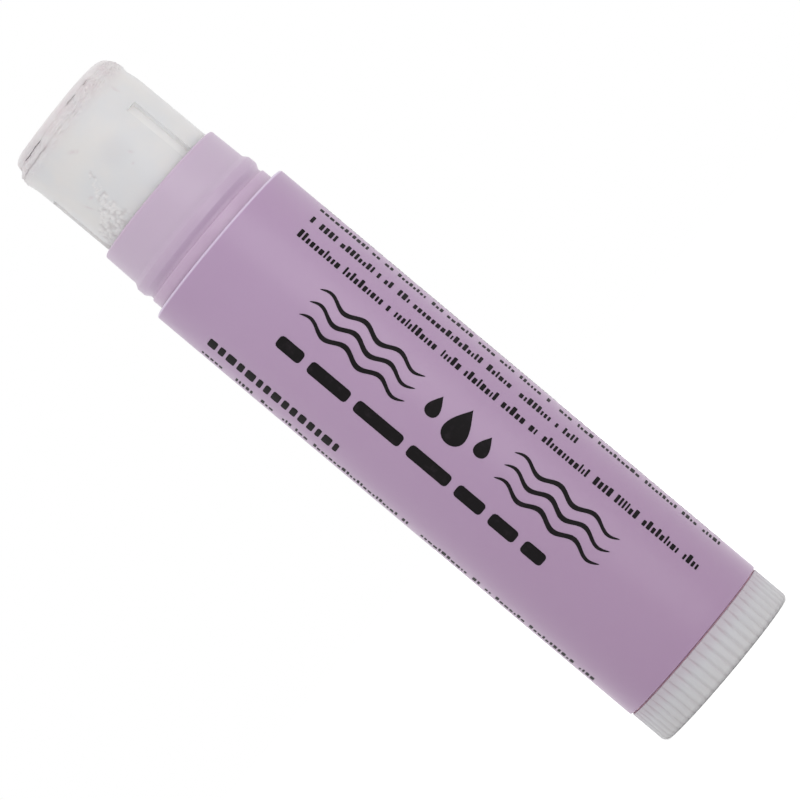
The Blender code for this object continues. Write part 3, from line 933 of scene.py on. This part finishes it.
def dial_outline():
    """From the pocket's floor over the shank and down the dial to the middle of its underside."""
    snap_high = SNAP_LOW + SNAP_LENGTH + 2 * SNAP_SLOPE
    snap_radius = SHANK_RADIUS + SNAP_SLOPE
    side = DIAL_RADIUS
    return (
        [(0, DIAL_FLOOR), (POCKET_RADIUS / 2, DIAL_FLOOR)]
        + arc(POCKET_RADIUS - SHANK_LEAD, DIAL_FLOOR + SHANK_LEAD, SHANK_LEAD, -90, 0, 4)
        + [(POCKET_RADIUS, SHANK_TOP - SHANK_LEAD)]
        + arc(POCKET_RADIUS + SHANK_LEAD / 2, SHANK_TOP - SHANK_LEAD / 2, SHANK_LEAD / 2, 180, 90, 3)
        + arc(SHANK_RADIUS - SHANK_LEAD, SHANK_TOP - SHANK_LEAD, SHANK_LEAD, 90, 0, 4)
        + [(SHANK_RADIUS, snap_high)]
        + [(snap_radius, snap_high - SNAP_SLOPE), (snap_radius, SNAP_LOW + SNAP_SLOPE)]
        + [(SHANK_RADIUS, SNAP_LOW), (SHANK_RADIUS, DIAL_TOP + COLLAR_RISE)]
        + [(COLLAR_RADIUS, DIAL_TOP + COLLAR_RISE), (COLLAR_RADIUS, DIAL_TOP)]
        + arc(side - DIAL_TOP_EDGE, DIAL_TOP - DIAL_TOP_EDGE, DIAL_TOP_EDGE, 90, 0, 3)
        + stretch((side, DIAL_TOP - 2 * DIAL_TOP_EDGE), (side, DIAL_EDGE), 26)
        + arc(side - DIAL_EDGE, DIAL_EDGE, DIAL_EDGE, 0, -90, 8)
        + [(side - 1.3 * DIAL_EDGE, 0), (side - 1.8 * DIAL_EDGE, 0), (side / 2, 0), (0, 0)]
    )


dial_angles = even_angles(GRIP_GROOVES * COLUMNS_A_GROOVE)
dial_blank = skin("dial_blank", *spun(dial_outline(), len(dial_angles)), dial_angles)
print(f"dial blank: {triangles(dial_blank)} triangles")

# %% Press the grip grooves
GROOVE_DEPTH = 0.00013
GROOVE_HALF_SHARE = 0.30
GROOVE_POINT_TOP = 0.0037
GROOVE_POINT_FOOT = 0.0021
GROOVE_REACH = 0.0008
GROOVE_THINNEST = 0.001
NARROWING_POWER = 0.7
SHALLOWING_POWER = 0.6


def grip_recipe():
    """Narrow grooves round a turned rim, pointed at the top."""
    recipe = Recipe("grip_grooves", "Radius Depth HalfShare PointTop PointFoot Reach", "Grooves")
    given = recipe.given
    x, y, z = recipe.spot()
    angle = recipe.math("ARCTAN2", y, x)
    phase = (angle / tau * given("Grooves")).math("FRACT")
    from_middle = (phase - 0.5).math("ABSOLUTE")
    narrowing = 1.0 - (z - given("PointFoot")) / (given("PointTop") - given("PointFoot"))
    narrowing = narrowing.clamped() ** NARROWING_POWER
    half_width = (narrowing * given("HalfShare")).math("MAXIMUM", GROOVE_THINNEST)
    deep = (1.0 - from_middle.rise(0.0, half_width)) * narrowing ** SHALLOWING_POWER
    radius = (x * x + y * y).math("SQRT")
    deep = deep * radius.rise(given("Radius") - given("Reach"), given("Radius") - given("Depth"))
    shape = recipe.keep(given("Geometry"), "groove", deep)
    pressed = 1.0 - deep * given("Depth") / radius.math("MAXIMUM", given("Depth"))
    recipe.finish(recipe.put(shape, x * pressed, y * pressed, z))
    return recipe


WHITE = linear(195, 195, 200)
WHITE_FOOT = linear(197, 196, 197)
WHITE_CLOUD = linear(198, 196, 199)
# painted shade and painted lilac bounce light in the grip grooves
WHITE_GROOVE_SHADE_AND_BOUNCE = linear(182, 160, 168)
# painted lilac bounce light in the seam between dial and tube
WHITE_SEAM_BOUNCE_LIGHT = linear(226, 182, 196)
# painted shade and painted lilac bounce light on the dial just below the seam
WHITE_SEAM_SHADE_AND_BOUNCE = linear(183, 171, 181)
SEAM_REACH = 0.0016
SEAM_CLOSE = 0.0002
SEAM_DEPTH = 0.00002


def dial_finish():
    """Satin white polypropylene, with painted shade and painted lilac bounce light in its grooves, next to
    the lilac tube and in the seam.
    """
    material, tree = new_finish("white_polypropylene")
    spot, height = place(tree)
    groove = kept(tree, "groove")
    cloud = mottle(tree, spot, 220.0, 3.0)
    body = tree.mix(height.rise(0.0, DIAL_TOP), WHITE_FOOT, WHITE)
    body = tree.mix(cloud.rise(0.35, 0.75) * 0.35, body, WHITE_CLOUD)
    near_seam = height.rise(DIAL_TOP - SEAM_REACH, DIAL_TOP - SEAM_CLOSE)
    # painted shade and painted lilac bounce light in the grooves, strongest under the seam
    body = tree.mix(groove * (0.08 + 0.92 * near_seam), body, WHITE_GROOVE_SHADE_AND_BOUNCE)
    # painted shade and painted lilac bounce light below the seam
    body = tree.mix(near_seam * 0.6, body, WHITE_SEAM_SHADE_AND_BOUNCE)
    # painted lilac bounce light in the seam
    body = tree.mix(height.rise(DIAL_TOP - SEAM_DEPTH, DIAL_TOP), body, WHITE_SEAM_BOUNCE_LIGHT)
    grain = mottle(tree, spot, 2600.0, 2.0)
    surface(tree, {
        "Base Color": body,
        "Roughness": 0.42 + 0.12 * cloud,
        "Normal": bumped(tree, grain, 0.2),
        "IOR": POLYPROPYLENE_IOR,
        "Subsurface Weight": 0.2,
        "Subsurface Radius": (1.0, 0.97, 1.0),
        "Subsurface Scale": 0.001,
    })
    return material


white = dial_finish()
grip_sizes = {
    "Grooves": GRIP_GROOVES, "Radius": DIAL_RADIUS, "Depth": GROOVE_DEPTH, "HalfShare": GROOVE_HALF_SHARE,
    "PointTop": GROOVE_POINT_TOP, "PointFoot": GROOVE_POINT_FOOT, "Reach": GROOVE_REACH,
}
dial_mesh = cook(grip_recipe(), "dial", white, dial_blank, **grip_sizes)
dial = link("dial", dial_mesh)
print(f"dial: {GRIP_GROOVES} grooves, {triangles(dial_mesh)} triangles")

# %% [markdown]
# ## The spindle
#
# The spindle carries a left-handed screw thread that lifts the soap's cup. A thread follows a
# rule, so it is a Geometry Nodes tree on a plain grid: the grid is rolled into a rod, and the
# sum of a point's turn and its height, counted in leads, tells whether it is on the thread's
# round bead. The first and the last row shrink to the axis, which closes the rod.

# %% Cut the thread
SPINDLE_SUNK = 0.0001
SPINDLE_FOOT = DIAL_FLOOR - SPINDLE_SUNK
CORE_RADIUS = 0.0015
THREAD_RADIUS = 0.00055
THREAD_LEAD = 0.0040
THREAD_START = 0.0076
PLAIN_POINT = 0.00165
THREAD_END = SPINDLE_TOP - PLAIN_POINT
THREAD_RUNOUT = 0.0007
CORE_POINT = 0.0005
SPINDLE_COLUMNS = 36
SPINDLE_ROWS = 520


def thread_recipe():
    """A rod with a round-beaded, left-handed thread."""
    recipe = Recipe("screw_thread", "Foot Top Core Bead Lead Start End Runout Point", "Columns Rows")
    given = recipe.given
    rod = recipe.grid(given("Columns"), given("Rows"))
    x, y, z = recipe.spot()
    rod = recipe.keep(recipe.keep(rod, "turn", (x + 0.5) * tau), "share", y + 0.5)
    turn, share = recipe.trait("turn"), recipe.trait("share")
    step = 1.0 / (given("Rows") - 1.0)
    inner = ((share - step) / (1.0 - 2.0 * step)).clamped()
    height = given("Foot") + inner * (given("Top") - given("Foot"))
    phase = (height / given("Lead") + turn / tau + 0.5).math("FRACT") - 0.5
    aside = phase * given("Lead")
    bead = (given("Bead") * given("Bead") - aside * aside).math("MAXIMUM", 0.0).math("SQRT")
    kept = height.rise(given("Start") - given("Runout"), given("Start"))
    kept = kept * (1.0 - height.rise(given("End"), given("End") + given("Runout")))
    bevel = (given("Point") - (given("Top") - height)).math("MAXIMUM", 0.0)
    within = (share * (1.0 - share)).math("GREATER_THAN", step * (1.0 - step) / 2.0)
    radius = (given("Core") + bead * kept - bevel) * within
    rod = recipe.put(rod, radius * turn.math("COSINE"), radius * turn.math("SINE"), height)
    recipe.finish(recipe.weld(rod))
    return recipe


thread_sizes = {
    "Columns": SPINDLE_COLUMNS + 1, "Rows": SPINDLE_ROWS, "Foot": SPINDLE_FOOT, "Top": SPINDLE_TOP,
    "Core": CORE_RADIUS, "Bead": THREAD_RADIUS, "Lead": THREAD_LEAD, "Start": THREAD_START,
    "End": THREAD_END, "Runout": THREAD_RUNOUT, "Point": CORE_POINT,
}
spindle_mesh = cook(thread_recipe(), "spindle", white, **thread_sizes)
spindle_mesh.shade_smooth()
spindle = link("spindle", spindle_mesh)
print(f"spindle: {(THREAD_END - THREAD_START) / THREAD_LEAD:.1f} turns, {triangles(spindle_mesh)} triangles")

# %% [markdown]
# ## The stick of soap
#
# The soap is cast, so it shows how it was made. Its end is a button with soft corners; round
# its foot ran a parting line of the mould, where the soap has cracked open in places and has
# swollen into a wrinkled lip of flash. Three keyways run down its sides, each with a square
# end, and on one side the skin has torn and crumbled. Hidden inside is the channel for the
# spindle. Noise and masks on one fine skin make all of it. The two sides of the tip differ,
# so each has its own outline, and every ring blends from one to the other round the stick.

# %% Draw the soap's outlines
STICK_RADIUS = 0.00625
CAST_GAP = 0.0003
FOOT_RADIUS = 0.0050
FOOT_BORE = 0.00355
CHANNEL_RADIUS = 0.00235
CHANNEL_END = 0.0668
CHANNEL_EDGE = 0.0005
WEB_TURNS = [11.0, 131.0, -109.0]
WEB_SLOT_TOP = 0.0191
WEB_SLOT_HALF_ANGLE = 11.0
KEYWAY_DEPTH_RADIUS = 0.00583
KEYWAY_HALF_WIDTH = 0.00062
KEYWAY_END = 0.06775
KEYWAY_WALL = 0.00002
SOAP_SOFT_END = 0.0044
SOAP_SHOWN = 0.0116
SOAP_COLUMNS = 376
FRONT_WEAR = 0.00040
FRONT_WEAR_REACH = 0.0012

# Depth below the tip and radius, in millimetres, from the middle of the end to the plain side
WORN_SIDE = [
    (0.12, 0.0), (0.14, 3.0), (0.24, 4.6), (0.38, 5.25), (0.59, 5.65), (0.86, 5.83), (1.28, 5.93),
    (1.45, 6.03), (1.68, 6.28), (2.40, 6.44), (2.95, 6.38), (3.60, 6.31), (4.40, 6.31),
]
KEEN_SIDE = [
    (0.12, 0.0), (0.00, 3.0), (0.06, 4.2), (0.24, 5.02), (0.48, 5.45), (0.74, 5.70), (0.85, 5.76),
    (1.05, 5.83), (1.50, 6.00), (2.06, 6.12), (2.63, 6.06), (3.30, 6.17), (4.40, 6.22),
]
ROWS_BETWEEN = [4, 3, 4, 4, 4, 12, 8, 9, 14, 9, 8, 8]
PARTING_POINT = 6
SIDE_ROWS = [8, 66, 42]
CHANNEL_ROWS = 12
KEYWAY_STEP = 0.0001


def through(points, steps):
    """A smooth line through points, with its own number of steps between each two."""
    points = np.array(points)
    slopes = np.gradient(points, axis=0)
    line = []
    for first, last, leave, arrive, count in zip(points, points[1:], slopes, slopes[1:], steps):
        for share in np.arange(count) / count:
            square, cube = share * share, share**3
            line.append(
                (2 * cube - 3 * square + 1) * first
                + (cube - 2 * square + share) * leave
                + (3 * square - 2 * cube) * last
                + (cube - square) * arrive
            )
    return np.array(line)


MILLIMETRE = 0.001
worn = through(WORN_SIDE, ROWS_BETWEEN) * MILLIMETRE
keen = through(KEEN_SIDE, ROWS_BETWEEN) * MILLIMETRE
worn[0, 1] = keen[0, 1] = 0
parting_row = sum(ROWS_BETWEEN[:PARTING_POINT])
print(f"tip outlines of {len(worn)} rings, parting line on ring {parting_row}")

# %% Lay out the soap's skin
soap_angles = even_angles(SOAP_COLUMNS)
half_key = asin(KEYWAY_HALF_WIDTH / STICK_RADIUS)
wall_angle = KEYWAY_WALL / STICK_RADIUS
key_edges = [
    (radians(turn) + side * (half_key + offset)) % tau
    for turn in RIB_TURNS for side in (-1, 1) for offset in (-wall_angle, wall_angle)
]
clear = [min(abs(angle - edge) for edge in key_edges) > tau / SOAP_COLUMNS / 3 for angle in soap_angles]
soap_angles = np.sort(np.concatenate([soap_angles[np.array(clear)], key_edges]))

side_depths = np.concatenate([
    np.linspace(SOAP_SOFT_END, TIP - KEYWAY_END - KEYWAY_WALL, SIDE_ROWS[0], endpoint=False),
    TIP - KEYWAY_END + np.array([-KEYWAY_WALL, KEYWAY_WALL]),
    np.linspace(TIP - KEYWAY_END + KEYWAY_STEP, SOAP_SHOWN, SIDE_ROWS[1], endpoint=False),
    np.linspace(SOAP_SHOWN, TIP - CUP_TOP - CAST_GAP, SIDE_ROWS[2]),
])
foot_rings = [
    (FOOT_RADIUS, CUP_TOP + CAST_GAP), (FOOT_RADIUS, SOAP_FOOT), (FOOT_BORE, SOAP_FOOT),
    (FOOT_BORE, CUP_TOP + CAST_GAP), (CHANNEL_RADIUS, CUP_TOP + CAST_GAP),
]
channel_rise = np.linspace(CUP_TOP + 2 * CAST_GAP, CHANNEL_END - CHANNEL_EDGE, CHANNEL_ROWS)
foot_rings += [(CHANNEL_RADIUS, height) for height in channel_rise]
foot_rings += arc(CHANNEL_RADIUS - CHANNEL_EDGE, CHANNEL_END - CHANNEL_EDGE, CHANNEL_EDGE, 0, 90, 5)[1:]
foot_rings += [(0, CHANNEL_END)]

# 0 on the worn side, at -X, and 1 on the keen side, at +X; the front of the face is worn lowest
keenness = (1 + np.cos(soap_angles)) / 2
blend = keenness * keenness * (3 - 2 * keenness)
tip_radius = worn[:, 1:] * (1 - blend) + keen[:, 1:] * blend
tip_depth = worn[:, :1] * (1 - blend) + keen[:, :1] * blend
forward = np.clip(-np.sin(soap_angles), 0, 1)
fading = np.clip(1 - tip_depth / FRONT_WEAR_REACH, 0, 1)
tip_depth = tip_depth + FRONT_WEAR * forward * fading * tip_radius / STICK_RADIUS
side_radius = np.repeat(worn[-1:, 1:] * (1 - blend) + keen[-1:, 1:] * blend, len(side_depths), axis=0)
side_depth = np.repeat(side_depths[:, None], len(soap_angles), axis=1)
foot_radius, foot_height = spun(foot_rings, len(soap_angles))

soap_radius = np.vstack([tip_radius, side_radius, foot_radius])
soap_height = np.vstack([TIP - tip_depth, TIP - side_depth, foot_height])
outer_rows = len(worn) + len(side_depths)
on_foot = np.abs(soap_height - SOAP_FOOT) < POINT_REACH
for turn in WEB_TURNS:
    over_web = np.abs(off_centre(soap_angles, turn)) < radians(WEB_SLOT_HALF_ANGLE)
    soap_height = np.where(on_foot & over_web, WEB_SLOT_TOP, soap_height)
print(f"soap skin: {soap_radius.shape[0]} rings of {soap_radius.shape[1]} points")

# %% [markdown]
# The relief is worked out for every point of the skin at once. A mask says where a feature
# lies, and noise says how it breaks up. Above the tube's rim the skin may swell; below it the
# soap runs close to the bore, so there every feature only cuts inwards.

# %% Weather the soap
WRINKLE_HEIGHT = 0.00009
WRINKLE_GROOVE = 0.00008
CRACK_DEPTH = 0.00022
PARTING_DEPTH = 0.00003
CRACK_WAVER = 0.00009
TORN_HEIGHT = 0.00012
TORN_CELL = 0.00036
UNDULATION = 0.00002
FACE_HOLLOW = 0.00004
RIM_FADE = 0.0008
TINT_FADE = (0.0012, 0.0034)
LIP_FULL = 0.00015
LIP_ENDS = (0.0009, 0.0017)
GROOVE_BELOW_TIP = 0.00195
GROOVE_WANDER = 0.00012
GROOVE_CLIMB = 0.0002
GROOVE_HALF_WIDTH = 0.00007
LEAN = -0.00005
LEAN_BELOW_RIM = 0.002
SOAP_TRAITS = ("crease", "torn", "tint", "keyway")

# Cracks along the parting line: turn of the middle and half width in degrees, from +X
CRACKS = [(-77.5, 6.5), (-134.0, 15.0), (-57.0, 4.0), (18.0, 9.0), (95.0, 12.0), (150.0, 7.0), (-172.0, 5.0)]

# Where the skin is torn: place across, depth below the tip and half width, in millimetres
TORN_TRAIL = [(-2.2, 5.8, 0.15), (-2.9, 7.2, 0.35), (-3.6, 8.6, 0.7), (-4.3, 9.6, 1.1), (-4.6, 11.0, 1.6)]
TORN_STARTS = (0.0056, 0.0064)
TORN_THICKENS = (0.0080, 0.0095)
TORN_ENDS = (0.0125, 0.0145)


def smooth(values, low, high):
    """The same smooth step as Signal.rise, on an array."""
    share = np.clip((values - low) / (high - low), 0, 1)
    return share * share * (3 - 2 * share)


def noise_at(points, cell, stretch_z=1.0, octaves=2):
    """Perlin noise from about -1 to 1 at every point."""
    scale = Vector((1, 1, stretch_z)) / cell
    spots = points.reshape(-1, 3)
    values = [noise.fractal(Vector(spot) * scale, 0.8, 2.0, octaves) for spot in spots]
    return np.array(values).reshape(points.shape[:-1])


def cells_at(points, cell):
    """Distance to the nearest point of a scattered pattern, in cells."""
    spots = points.reshape(-1, 3) / cell
    values = [noise.voronoi(Vector(spot))[0][0] for spot in spots]
    return np.array(values).reshape(points.shape[:-1])


skin_radius, skin_height = soap_radius[:outer_rows], soap_height[:outer_rows]
turns = np.broadcast_to(soap_angles, skin_radius.shape)
spots = np.stack([skin_radius * np.cos(turns), skin_radius * np.sin(turns), skin_height], axis=-1)
depth = TIP - skin_height
parting = depth[parting_row]
beyond_parting = depth - parting
in_front = spots[..., 1] < 0

coarse = noise_at(spots, 0.0030)
medium = noise_at(spots, 0.0011)
folds = noise_at(spots, 0.00085, 2.6, 3)
fine = noise_at(spots, 0.00032, 1.6, 3)

# Wrinkled lip: folds that run round the stick, and the groove at its lower edge
lip = smooth(beyond_parting, 0.0, LIP_FULL) * (1 - smooth(beyond_parting, *LIP_ENDS))
ridged = 1 - np.abs(folds) * 2.2
groove_depth = GROOVE_BELOW_TIP + GROOVE_WANDER * coarse - GROOVE_CLIMB * np.clip(np.cos(turns), 0, 1)
on_groove = np.exp(-(((depth - groove_depth) / GROOVE_HALF_WIDTH - medium) ** 2))
plain_side = smooth(spots[..., 0], -0.0015, 0.0020)
worn_part = smooth(-spots[..., 0], 0.0022, 0.0038)
groove_strength = (0.25 + 0.75 * worn_part) * (1 - 0.6 * plain_side) + 0.3 * np.clip(medium, 0, 1)
relief = WRINKLE_HEIGHT * lip * (0.6 * ridged + (0.5 + 0.6 * plain_side) * fine)
relief -= WRINKLE_GROOVE * on_groove * groove_strength

# Torn skin
trail = np.array(TORN_TRAIL) * MILLIMETRE
trail_middle = np.interp(depth, trail[:, 1], trail[:, 0])
trail_half = np.interp(depth, trail[:, 1], trail[:, 2])
aside = np.abs(spots[..., 0] - trail_middle) / trail_half
torn = 1 - smooth(aside + 0.45 * medium, 0.75, 1.15)
torn *= smooth(depth, *TORN_STARTS) * (1 - smooth(depth, *TORN_ENDS))
crumbs = smooth(fine + 0.35 * smooth(depth, *TORN_THICKENS), -0.15, 0.25)
torn = np.where(in_front, torn * crumbs, 0)
pits = cells_at(spots, TORN_CELL)
relief += TORN_HEIGHT * torn * (0.9 - 2.2 * pits)

relief += UNDULATION * coarse
print(f"relief from {relief.min() * 1000:.2f} to {relief.max() * 1000:.2f} mm")
print(f"torn over {torn.mean() * 100:.1f}% of the skin")

# %% Crack, nick and lean the soap
crack = np.zeros(len(soap_angles))
for turn, half_width in CRACKS:
    from_crack = np.abs(off_centre(soap_angles, turn)) / radians(half_width)
    crack = np.maximum(crack, 1 - smooth(from_crack, 0.8, 1.0))
crack *= 0.55 + 0.45 * np.clip(1 + 2 * fine[parting_row], 0, 1)
relief[parting_row] -= PARTING_DEPTH + CRACK_DEPTH * crack
relief[[parting_row - 1, parting_row + 1]] -= PARTING_DEPTH / 2 + CRACK_DEPTH * crack * 0.25
near_parting = 1 - smooth(np.abs(beyond_parting), 0.0002, 0.0005)
waver = CRACK_WAVER * (medium[parting_row] + 0.5 * fine[parting_row]) * near_parting

# Dents: place across, depth below the tip, half length and half width in millimetres, and tilt in degrees
DENTS = [
    (-2.0, 3.95, 0.30, 0.14, 35), (-1.7, 4.25, 0.16, 0.09, -20), (-4.65, 7.85, 0.42, 0.07, 70),
    (-3.9, 7.5, 0.20, 0.12, 30), (4.3, 3.2, 0.35, 0.10, 80), (1.1, 7.6, 0.22, 0.10, 60),
    (0.5, 8.4, 0.12, 0.08, 0),
]
DENT_DEPTH = 0.00006
dented = np.zeros(depth.shape)
for across, below, half_length, half_width, tilt in DENTS:
    x_away = spots[..., 0] / MILLIMETRE - across
    d_away = depth / MILLIMETRE - below
    along = x_away * cos(radians(tilt)) + d_away * sin(radians(tilt))
    over = d_away * cos(radians(tilt)) - x_away * sin(radians(tilt))
    dented = np.maximum(dented, np.exp(-((along / half_length) ** 2) - (over / half_width) ** 2) * in_front)
relief -= DENT_DEPTH * dented

above_rim = 1 - smooth(depth, TIP - RIM - RIM_FADE, TIP - RIM)
relief = np.where(relief > 0, relief * above_rim, relief)
off_face = np.clip(smooth(skin_radius, 0.0045, 0.0056) + smooth(depth, 0.0006, 0.0010), 0, 1)
skin_radius += relief * off_face
skin_height += waver - (1 - off_face) * FACE_HOLLOW * (1 - coarse)
skin_height[:] = np.minimum(skin_height, TIP)

over_key = np.zeros(len(soap_angles), bool)
for turn in RIB_TURNS:
    over_key |= np.abs(off_centre(soap_angles, turn)) < half_key
keyway = over_key & (depth > TIP - KEYWAY_END)
skin_radius[:] = np.where(keyway, np.minimum(skin_radius, KEYWAY_DEPTH_RADIUS), skin_radius)

lean = LEAN * (1 - smooth(TIP - soap_height, 0.0, TIP - RIM + LEAN_BELOW_RIM))
# painted shade: the groove under the lip, the pits of torn skin and the cracks are darkened
crease = np.maximum(0.35 * on_groove * groove_strength, 0.22 * torn * smooth(pits, 0.42, 0.72))
crease = np.maximum(crease, 0)
crease[parting_row] = np.maximum(crease[parting_row], crack)
tint = (1 - smooth(depth, *TINT_FADE)) * (0.7 + 0.5 * medium) + 0.8 * dented
traits = {name: np.zeros(soap_radius.shape) for name in SOAP_TRAITS}
for name, values in zip(SOAP_TRAITS, (crease, torn, tint, keyway)):
    traits[name][:outer_rows] = values
soap_mesh = skin("soap", soap_radius, soap_height, soap_angles, lean=lean, **traits)
print(f"soap: {triangles(soap_mesh)} triangles")

# %% [markdown]
# ## Clear soap
#
# Clear glycerine soap is a little milky: some light goes through, some is scattered inside and
# the rest glances off a waxy surface. Handling has left a pink cast on the tip. Torn skin is
# rough and whiter. Painted shade darkens the cracks, the groove under the lip and the pits of
# torn skin, painted light brightens the keyways, and a smudge of painted shade marks where the
# hidden channel shows through.

# %% Cast the soap's finish
SOAP = linear(230, 228, 227)
SOAP_COOL = linear(225, 225, 227)
SOAP_WARM = linear(232, 228, 226)
SOAP_PINK = linear(219, 208, 212)
SOAP_CRUMB = linear(243, 240, 240)
# painted shade for the cracks, the groove under the lip and the pits of torn skin
SOAP_CRACK_SHADE = linear(112, 98, 104)
# painted light for the keyway floors, against the shade in them
SOAP_KEYWAY_PAINTED_LIGHT = linear(250, 249, 248)
# painted shade where the hidden channel shows through the soap
SOAP_CHANNEL_SHADE = linear(198, 196, 204)
CHANNEL_SEEN = (0.0004, -0.0062, 0.0663)
CHANNEL_BLUR = (0.0004, 0.0019)
SOAP_RELIEF = 0.00003


def soap_finish():
    material, tree = new_finish("clear_soap")
    spot, height = place(tree)
    marks = {name: kept(tree, name) for name in SOAP_TRAITS}
    cloud = mottle(tree, spot, 260.0, 3.0)
    body = tree.mix(cloud.rise(0.3, 0.7), SOAP_COOL, SOAP)
    body = tree.mix(mottle(tree, spot, 420.0).rise(0.45, 0.8) * 0.6, body, SOAP_WARM)
    body = tree.mix(marks["tint"] * (0.55 + 0.35 * mottle(tree, spot, 900.0)), body, SOAP_PINK)
    body = tree.mix(marks["torn"] * 0.6, body, SOAP_CRUMB)
    # painted light: brightens the keyways, where shade falls
    body = tree.mix(marks["keyway"] * 0.55, body, SOAP_KEYWAY_PAINTED_LIGHT)
    # painted shade: a grey smudge where the hidden channel shows through
    from_channel = tree.node("ShaderNodeVectorMath", {"operation": "DISTANCE"}, {0: spot, 1: CHANNEL_SEEN}, 1)
    body = tree.mix((1 - from_channel.rise(*CHANNEL_BLUR)) * (0.05 + 0.22 * cloud), body, SOAP_CHANNEL_SHADE)
    # painted shade in the lip's groove, the pits of torn skin and the cracks
    body = tree.mix(marks["crease"], body, SOAP_CRACK_SHADE)
    smear = mottle(tree, spot, 700.0, 3.0)
    grain = mottle(tree, spot, 3800.0, 3.0)
    surface(tree, {
        "Base Color": body,
        "Roughness": 0.28 + 0.16 * smear + 0.2 * marks["torn"],
        "Normal": bumped(tree, smear + marks["torn"] * grain, 0.35, SOAP_RELIEF),
        "IOR": 1.47,
        "Transmission Weight": 0.14,
        "Subsurface Weight": 0.6,
        "Subsurface Radius": (1.0, 0.95, 0.92),
        "Subsurface Scale": 0.002,
    })
    return material


soap = link("soap", soap_mesh, soap_finish())
print("soap finished")

# %% [markdown]
# ## The elevator
#
# The cup that carries the soap is hidden inside the tube. The frame's own solid has its true
# shape, so it stays as it is and only gets the finish of undyed polypropylene.

# %% Finish the elevator
NATURAL = linear(222, 220, 217)
NATURAL_MILKY = linear(229, 228, 226)


def natural_finish():
    material, tree = new_finish("natural_polypropylene")
    spot = place(tree)[0]
    cloud = mottle(tree, spot, 300.0, 3.0)
    grain = mottle(tree, spot, 2400.0)
    surface(tree, {
        "Base Color": tree.mix(cloud, NATURAL, NATURAL_MILKY),
        "Roughness": 0.35 + 0.15 * cloud,
        "Normal": bumped(tree, grain, 0.2),
        "IOR": POLYPROPYLENE_IOR,
        "Subsurface Weight": 0.3,
        "Subsurface Radius": (1.0, 1.0, 0.95),
        "Subsurface Scale": 0.001,
    })
    return material


elevator = frame["nodes"]["elevator"]
natural = natural_finish()
for finish_slot in elevator.material_slots:
    finish_slot.material = natural
if not elevator.material_slots:
    elevator.data.materials.append(natural)
print("elevator finished, slots:", len(elevator.material_slots))

# %% [markdown]
# ## Put the pieces on their bodies
#
# Every piece rides on the part of the mechanism that moves it, and the plain solid that it
# replaces is hidden. The box round the whole object is then measured again, because the
# dressed stick has to stay within the frame's own.

# %% Ride on the bodies
for piece, body, node, finish in [
    (tube, "barrel_body", "barrel", "lilac_tube"),
    (dial, "dial_body", "dial_spindle", "white_dial"),
    (spindle, "dial_body", "dial_spindle", "white_dial"),
    (soap, "carrier_body", "soap_stick", "clear_soap"),
]:
    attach(piece, body)
    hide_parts(node)
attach(ink_film, "barrel_body")

shown_low, shown_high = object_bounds()
boxes = {
    "cad": [list(cad_low), list(cad_high)],
    "visual": [list(shown_low), list(shown_high)],
}
for name, (low, high) in boxes.items():
    print(name, [round(1000 * (b - a), 3) for a, b in zip(low, high)], "mm")
